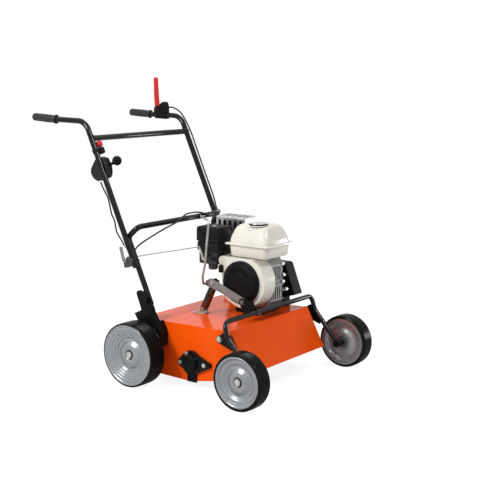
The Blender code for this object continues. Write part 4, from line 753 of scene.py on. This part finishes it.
lean = Vector((0, LEAN, 1)).normalized()
seat = Vector((-0.2600, 0.2475, 0.858)) + lean * 0.026
STEM = [(0, 0), (0, 0.0056), (0.0092, 0.0056), (0.0092, 0.0120), (0.0100, 0.0134),
        (0.0116, 0.0140), (0.0236, 0.0140), (0.0264, 0.0136), (0.0286, 0.0124), (0.0302, 0.0102),
        (0.0312, 0.0072), (0.0318, 0.0030), (0.0318, 0)]
piece("red_stop_button", [spin(STEM, seat - lean * 0.0040, lean, 64)], RED, "stop_button",
      ["stop_button"], "red_plastic", crease=45)
print("pieces so far:", len(made))

# %% [markdown]
# ## Engine: fan housing and starter
# The fan housing is a pressed shroud round the flywheel, with a thick round edge. The black starter
# cover is a low dome on it. Vent slots are cut into the dome's face, as the fan draws its air there.

# %% Fan housing
CRANK = (-0.269, 0.380)
shroud = arc(*CRANK, 0.1020, 115, 300, 60)
shroud += [(-0.198, 0.2985), (-0.186, 0.3080), (-0.178, 0.3200), (-0.174, 0.330), (-0.166, 0.405),
           (-0.1540, 0.450), (-0.1530, 0.4560), (-0.1560, 0.4640), (-0.1620, 0.4695),
           (-0.1700, 0.4725)]
vent = spin([(0, 0), (0, 0.089), (0.0028, 0.0895), (0.006, 0.091), (0.006, 0)], (-0.051, *CRANK))
piece("pressed_fan_housing", [plate(shroud, -0.047, 0.028), vent], CREAM, "chassis",
      ["fan_housing"], "tank_paint", edge=0.0085, steps=6, crease=50)
print("shroud outline:", len(shroud), "points")

# %% Starter cover and its grip
COVER_X, SIDES = -0.0513, 96
DOME = [(0, 0), (0, 0.0830), (-0.0078, 0.0830), (-0.0102, 0.0822), (-0.0120, 0.0800),
        (-0.0126, 0.0770), (-0.0150, 0.0752), (-0.0182, 0.0735), (-0.0202, 0.0700),
        (-0.0215, 0.0640), (-0.0224, 0.0560), (-0.0224, 0.0420), (-0.0232, 0.0400),
        (-0.0244, 0.0350), (-0.0249, 0.0200), (-0.0250, 0)]
cover = spin(DOME, (COVER_X, *CRANK), sides=SIDES)


def in_slot(face):
    """True for three of every six faces of the dome's flat ring."""
    middle = face.calc_center_median()
    dy, dz = middle.y - CRANK[0], middle.z - CRANK[1]
    step = int(SIDES * (math.atan2(dz, dy) + math.pi) / (2 * math.pi))
    return 0.0430 < math.hypot(dy, dz) < 0.0555 and step % 6 in (1, 2, 3)


slots = [face for face in cover.faces if in_slot(face)]
bmesh.ops.inset_region(cover, faces=slots, thickness=0.0008, depth=-0.0022)
piece("starter_cover", [cover], PLASTIC, "chassis", ["recoil_cover"], "black_plastic", crease=38)

handle = plate(rounded(-0.1785, -0.1665, 0.4085, 0.4395, 0.0055), -0.0655, -0.0480)
piece("starter_handle", [handle], PLASTIC, "starter_grip", ["starter_grip"], "black_plastic",
      edge=0.003)
print("slots:", len(slots), "faces; pieces so far:", len(made))

# %% [markdown]
# ## Engine: tank and cap
# The tank is two pressed shells joined at a flat seam, with a broad crown. It is a stack of rounded
# rectangles with close rings at the shoulders, so its highlights bend smoothly from side to top.

# %% Tank
def stack(x0, x1, y0, y1, layers, steps=10):
    """Rounded rectangles, one over the other. A layer is height, inset and corner radius."""
    return skin([[(x, y, z) for x, y in rounded(x0 + d, x1 - d, y0 + d, y1 - d, r, steps)]
                 for z, d, r in layers])


CAP = (0.0, -0.310)
TANK = [(0.4750, 0.0140, 0.018), (0.4756, 0.0100, 0.020), (0.4775, 0.0062, 0.021),
        (0.4805, 0.0040, 0.022), (0.5000, 0.0018, 0.023), (0.5215, 0.0000, 0.024),
        (0.5220, -0.0105, 0.016), (0.5228, -0.0113, 0.0155), (0.5272, -0.0113, 0.0155),
        (0.5280, -0.0105, 0.016), (0.5285, 0.0008, 0.024), (0.5400, 0.0014, 0.025),
        (0.5480, 0.0026, 0.026), (0.5560, 0.0048, 0.027), (0.5650, 0.0078, 0.028),
        (0.5740, 0.0112, 0.029), (0.5820, 0.0146, 0.030), (0.5880, 0.0180, 0.031),
        (0.5925, 0.0222, 0.031), (0.5960, 0.0280, 0.030), (0.5982, 0.0350, 0.028),
        (0.5994, 0.0430, 0.026), (0.6000, 0.0540, 0.022)]
COLLAR = [(0, 0), (0, 0.0400), (0.0020, 0.0392), (0.0024, 0.0380), (0.0012, 0.0370), (0.0010, 0)]
shell = stack(-0.047, 0.117, -0.381, -0.198, TANK, 12)
collar = spin(COLLAR, (*CAP, 0.5976), (0, 0, 1), 72)
piece("pressed_tank", [shell, collar], CREAM, "chassis", ["fuel_tank"], "tank_paint", crease=40)
print("tank layers:", len(TANK))

# %% Fuel cap
LID = ((0.5994, 0.97), (0.6000, 1.0), (0.6042, 1.0), (0.6054, 0.97), (0.6060, 0.90), (0.6056, 0.70))
TOP = [(0, 0.0290), (0.0016, 0.0338), (0.0026, 0.0334), (0.0034, 0.0312), (0.0036, 0.0250),
       (0.0028, 0.0220), (0.0028, 0)]
rim = waved(*CAP, 0.0345, 0.0010, 28, 224)
lid = skin([[(u * k, CAP[1] + (v - CAP[1]) * k, z) for u, v in rim] for z, k in LID])
piece("ribbed_fuel_cap", [lid], PLASTIC, "fuel_cap", ["fuel_cap"], "black_plastic", crease=30)
piece("pressed_cap_top", [spin(TOP, (*CAP, 0.6040), (0, 0, 1))], ZINC, "fuel_cap",
      slot="zinc_plate", crease=40)
print("pieces so far:", len(made))

# %% [markdown]
# ## Engine: air cleaner and small parts
# The air cleaner is a moulded box in two halves with a dark joint between them, and upright ribs on
# the lower half. Beside it sit the hose and the lead that an engine can't run without.

# %% Air cleaner
BOX = [(0.4832, 0.0012, 0.005), (0.4842, 0.0002, 0.006), (0.5135, 0.0000, 0.006),
       (0.5150, 0.0008, 0.006), (0.5155, 0.0030, 0.005), (0.5198, 0.0030, 0.005),
       (0.5201, -0.0022, 0.0075), (0.5208, -0.0030, 0.008), (0.5330, -0.0028, 0.008),
       (0.5336, -0.0018, 0.0075), (0.5348, -0.0018, 0.0075), (0.5354, -0.0027, 0.008),
       (0.5680, -0.0022, 0.008), (0.5722, -0.0010, 0.008), (0.5748, 0.0012, 0.008),
       (0.5764, 0.0040, 0.0075), (0.5770, 0.0080, 0.006)]
RIB, PITCH, RIB_Z = 0.0035, 0.0095, (0.4850, 0.5140)
case = stack(-0.043, 0.050, -0.146, -0.043, BOX)
ribs = [block(y, y + RIB, *RIB_Z, -0.0446, -0.0400) for y in (-0.1280 + PITCH * i for i in range(8))]
ribs += [block(x, x + RIB, *RIB_Z, -0.1476, -0.1430, "Y")
         for x in (-0.0280 + PITCH * i for i in range(7))]
piece("air_cleaner_box", [case] + ribs, PLASTIC, "chassis", ["air_cleaner"], "black_plastic",
      crease=35)
wing = spin([(0, 0), (0, 0.0085), (0.0018, 0.0090), (0.0026, 0.0080), (0.0026, 0)],
            (0.0035, -0.0945, 0.5750), (0, 0, 1), 40)
piece("air_cleaner_nut", [wing], ZINC, "chassis", slot="zinc_plate")
print("air cleaner ribs:", len(ribs))

# %% Fuel hose and plug lead
hose = sweep(flow([(-0.020, -0.205, 0.4770), (-0.022, -0.190, 0.4690), (-0.024, -0.165, 0.4600),
                   (-0.022, -0.145, 0.4480), (-0.014, -0.129, 0.4450)]), 0.0040, 16)
lead = sweep(flow([(0.085, -0.088, 0.4700), (0.084, -0.120, 0.4850), (0.066, -0.160, 0.4800),
                   (0.045, -0.185, 0.4700), (0.034, -0.195, 0.4600)]), 0.0035, 16)
piece("fuel_hose_and_plug_lead", [hose, lead], SHEATH, "chassis", slot="cable_sheath")
print("pieces so far:", len(made))

# %% [markdown]
# Bright heads mark the joints of the machine: four long ones at the block's front, a ring of six on
# its side cover and three on each bearing. They are all turned forms. Low ribs stiffen the casting
# at the front, as flat blocks set in rows.

# %% Bolts and ribs of the engine
LONG = [(0, 0), (0, 0.0079), (0.0140, 0.0079), (0.0150, 0.0068), (0.0150, 0.0038),
        (0.0130, 0.0030), (0.0130, 0)]
heads = []
for x, y, z in ((0.126, -0.3375, 0.435), (0.132, -0.3385, 0.390), (0.127, -0.3385, 0.365),
                (0.152, -0.3375, 0.330)):
    heads.append(spin(LONG, (x - 0.0145, y, z), (1, 0, 0), 32))
for i in range(6):
    a = math.radians(60 * i + 20)
    at = (0.1320, CRANK[0] + 0.0455 * math.cos(a), CRANK[1] + 0.0455 * math.sin(a))
    heads += bolt(at, (1, 0, 0), 0.0048, 0.0040, 0.0060)
piece("engine_bolts", heads, ZINC, "chassis", slot="zinc_plate", crease=25)

UPRIGHT = ((0.3050, 0.3480, -0.3380), (0.3760, 0.4280, -0.3390))
ribs = [block(0.0330 + 0.0135 * i, 0.0362 + 0.0135 * i, z0, z1, y, y - 0.0050, "Y")
        for z0, z1, y in UPRIGHT for i in range(6)]
ribs += [block(0.0300, 0.1200, z, z + 0.0040, -0.3380, -0.3450, "Y")
         for z in (0.2990, 0.3560, 0.4340)]
piece("crankcase_ribs", ribs, ALLOY, "chassis", slot="cast_alloy", edge=0.0008)
print("block ribs:", len(ribs))

# %% Bolts of the bearings
bearing = []
for sign in (-1, 1):
    for y, z in ((-0.138, 0.095), (-0.253, 0.0995), (-0.170, 0.132)):
        bearing += bolt((sign * 0.2650, y, z), (sign, 0, 0), 0.0068, 0.0040, 0.0085)
piece("bearing_bolts", bearing, ZINC, "chassis", slot="zinc_plate", crease=25)
print("pieces so far:", len(made))

# %% [markdown]
# ## Cables
# The clutch cable runs from the red lever over the cross bar and down to the deck, the throttle wire
# from its housing to the governor. Both are fixed to the tubes, so each keeps the route of its solid
# and only its curve gets smoother. Each is in two runs, because the handle folds between them.

# %% Cables
CLUTCH_UPPER = [
    (SIDE + 0.004, 0.3818, 1.0180), (SIDE + 0.002, 0.3500, 1.0170), (SIDE - 0.004, 0.3010, 0.9930),
    (SIDE - 0.010, 0.2490, 0.9260), (SIDE - 0.010, 0.204, 0.827), (SIDE - 0.010, 0.158, 0.726),
    (SIDE - 0.0115, 0.124, 0.655), (SIDE - 0.0150, 0.1082, 0.6170)]
CLUTCH_LOWER = [
    (SIDE - 0.0154, 0.1075, 0.6150), (SIDE - 0.0175, 0.1020, 0.6050), (0.260, 0.0910, 0.5990),
    (0.242, 0.0635, 0.5955), (0.212, 0.0585, 0.5820), (0.188, 0.0575, 0.5800),
    (0.160, 0.0590, 0.5880), (0.132, 0.0660, 0.6000), (0.102, 0.0755, 0.6055),
    (0.072, 0.0765, 0.6065), (0.040, 0.0750, 0.6055), (0.008, 0.0660, 0.6005),
    (-0.022, 0.0588, 0.5905), (-0.058, 0.0570, 0.5800), (-0.120, 0.0600, 0.5640),
    (-0.185, 0.0760, 0.5370), (-0.232, 0.0960, 0.5080)]
CLUTCH_LOWER += [(-0.2502, lower_y(z) + 0.0098, z) for z in (0.4800, 0.4400, 0.3900, 0.3400)]
CLUTCH_LOWER += [(-0.2470, 0.0250, 0.3000), (-0.2360, 0.0420, 0.2680), (-0.2220, 0.0720, 0.2520),
                 (-0.2120, 0.0790, 0.2220)]
THROTTLE_UPPER = [
    (-0.2680, 0.2515, 0.7490), (-0.2760, 0.2280, 0.7220), (-0.2845, 0.2010, 0.6970),
    (-SIDE, 0.1890, 0.6650), (-SIDE, 0.1800, 0.6310), (-SIDE, 0.1660, 0.6080),
    (-SIDE, 0.1560, 0.5680), (-SIDE, 0.1440, 0.5500), (-0.2845, 0.1290, 0.5310),
    (-0.2810, 0.1215, 0.5150)]
THROTTLE_LOWER = [
    (-0.2806, 0.1211, 0.5140), (-0.2740, 0.1170, 0.5030), (-0.2640, 0.1105, 0.4890),
    (-0.2520, 0.1060, 0.4770), (-0.2360, 0.0975, 0.4690), (-0.2000, 0.0670, 0.4740),
    (-0.1500, 0.0250, 0.4815), (-0.1000, -0.0175, 0.4890), (-0.0520, -0.0583, 0.4967)]
for name, route, radius, body, mat in (
        ("clutch_cable_upper", CLUTCH_UPPER, 0.0032, "upper_handle", SHEATH),
        ("clutch_cable_lower", CLUTCH_LOWER, 0.0032, "chassis", SHEATH),
        ("throttle_cable_upper", THROTTLE_UPPER, 0.0030, "upper_handle", SHEATH),
        ("throttle_cable_lower", THROTTLE_LOWER, 0.0018, "chassis", LINK)):
    piece("run_of_" + name, [sweep(flow(route), radius, 16)], mat, body, [name], "cable_sheath")
print("pieces in all:", len(made))

# %% [markdown]
# ## Studio
# The photograph was taken on white. The floor takes soft light like any pale surface, and for the
# camera alone it gives off some light of its own, which lifts it to white and keeps the shadow
# under the wheels. The lamps stay weak, so that every colour renders about as it is written.

# %% Floor
def studio_floor():
    mat = bpy.data.materials.new("studio_floor")
    mat.use_nodes = True
    tree = mat.node_tree
    tree.nodes.clear()
    out = tree.nodes.new("ShaderNodeOutputMaterial")
    seen = tree.nodes.new("ShaderNodeLightPath").outputs["Is Camera Ray"]
    paper = tree.nodes.new("ShaderNodeBsdfDiffuse")
    veil = tree.nodes.new("ShaderNodeBsdfDiffuse")
    glow = tree.nodes.new("ShaderNodeEmission")
    paper.inputs["Color"].default_value = (0.80, 0.80, 0.80, 1)
    veil.inputs["Color"].default_value = (0.30, 0.30, 0.30, 1)
    glow.inputs["Strength"].default_value = 0.88
    both, pick = tree.nodes.new("ShaderNodeAddShader"), tree.nodes.new("ShaderNodeMixShader")
    tree.links.new(veil.outputs[0], both.inputs[0])
    tree.links.new(glow.outputs[0], both.inputs[1])
    tree.links.new(seen, pick.inputs["Fac"])
    tree.links.new(paper.outputs[0], pick.inputs[1])
    tree.links.new(both.outputs[0], pick.inputs[2])
    tree.links.new(pick.outputs[0], out.inputs["Surface"])
    return mat


HALF, DROP = 30, -0.0004
CORNERS = [(-HALF, -HALF, DROP), (HALF, -HALF, DROP), (HALF, HALF, DROP), (-HALF, HALF, DROP)]
sheet = bpy.data.meshes.new("floor")
sheet.from_pydata(CORNERS, [], [(0, 1, 2, 3)])
sheet.materials.append(studio_floor())
floor = bpy.data.objects.new("floor", sheet)
bpy.context.scene.collection.objects.link(floor)
print("floor:", 2 * HALF, "metres wide")

# %% [markdown]
# The sky is white for the camera and for reflections, and weaker as a light, so that black tubes
# and steel show the white studio while nothing is lit too brightly.

# %% Sky
world = bpy.data.worlds.new("studio")
world.use_nodes = True
bpy.context.scene.world = world
tree = world.node_tree
sky = tree.nodes["Background"]
sky.inputs["Color"].default_value = (1, 1, 1, 1)
rays = tree.nodes.new("ShaderNodeLightPath")
either = tree.nodes.new("ShaderNodeMath")
either.operation = "MAXIMUM"
also = tree.nodes.new("ShaderNodeMath")
also.operation = "MAXIMUM"
tree.links.new(rays.outputs["Is Camera Ray"], either.inputs[0])
tree.links.new(rays.outputs["Is Glossy Ray"], either.inputs[1])
tree.links.new(either.outputs[0], also.inputs[0])
tree.links.new(rays.outputs["Is Transmission Ray"], also.inputs[1])
level = tree.nodes.new("ShaderNodeMapRange")
AS_LIGHT, AS_SEEN = 0.38, 1.0
level.inputs["To Min"].default_value = AS_LIGHT
level.inputs["To Max"].default_value = AS_SEEN
tree.links.new(also.outputs[0], level.inputs["Value"])
tree.links.new(level.outputs["Result"], sky.inputs["Strength"])
print("sky:", AS_LIGHT, "as a light,", AS_SEEN, "as it is seen")

# %% [markdown]
# Four round lamps stand about the machine. The key is small, which puts a sharp line on the black
# tubes. The left one fills the deck's side, the right one draws the line along the cross bars, and
# the top one lifts the far edges.

# %% Lamps
def lamp(name, at, size, power):
    light = bpy.data.lights.new(name, "AREA")
    light.shape, light.size, light.energy = "DISK", size, power
    holder = bpy.data.objects.new(name, light)
    holder.location = at
    holder.rotation_euler = (AIM - Vector(at)).to_track_quat("-Z", "Y").to_euler()
    bpy.context.scene.collection.objects.link(holder)


lamp("key", AIM + RIGHT * 1.6 + BACK * 1.8 + Vector((0, 0, 2.3)), 0.6, 33)
lamp("left", AIM - RIGHT * 2.4 + BACK * 1.8 + Vector((0, 0, 1.5)), 1.2, 88)
lamp("right", AIM + RIGHT * 2.3 - BACK * 0.9 - Vector((0, 0, 0.05)), 0.5, 11)
lamp("top", AIM - BACK * 0.8 + Vector((0, 0, 2.8)), 1.2, 14)
bpy.context.scene.view_settings.view_transform = "Standard"
print("lamps:", len(bpy.data.lights))
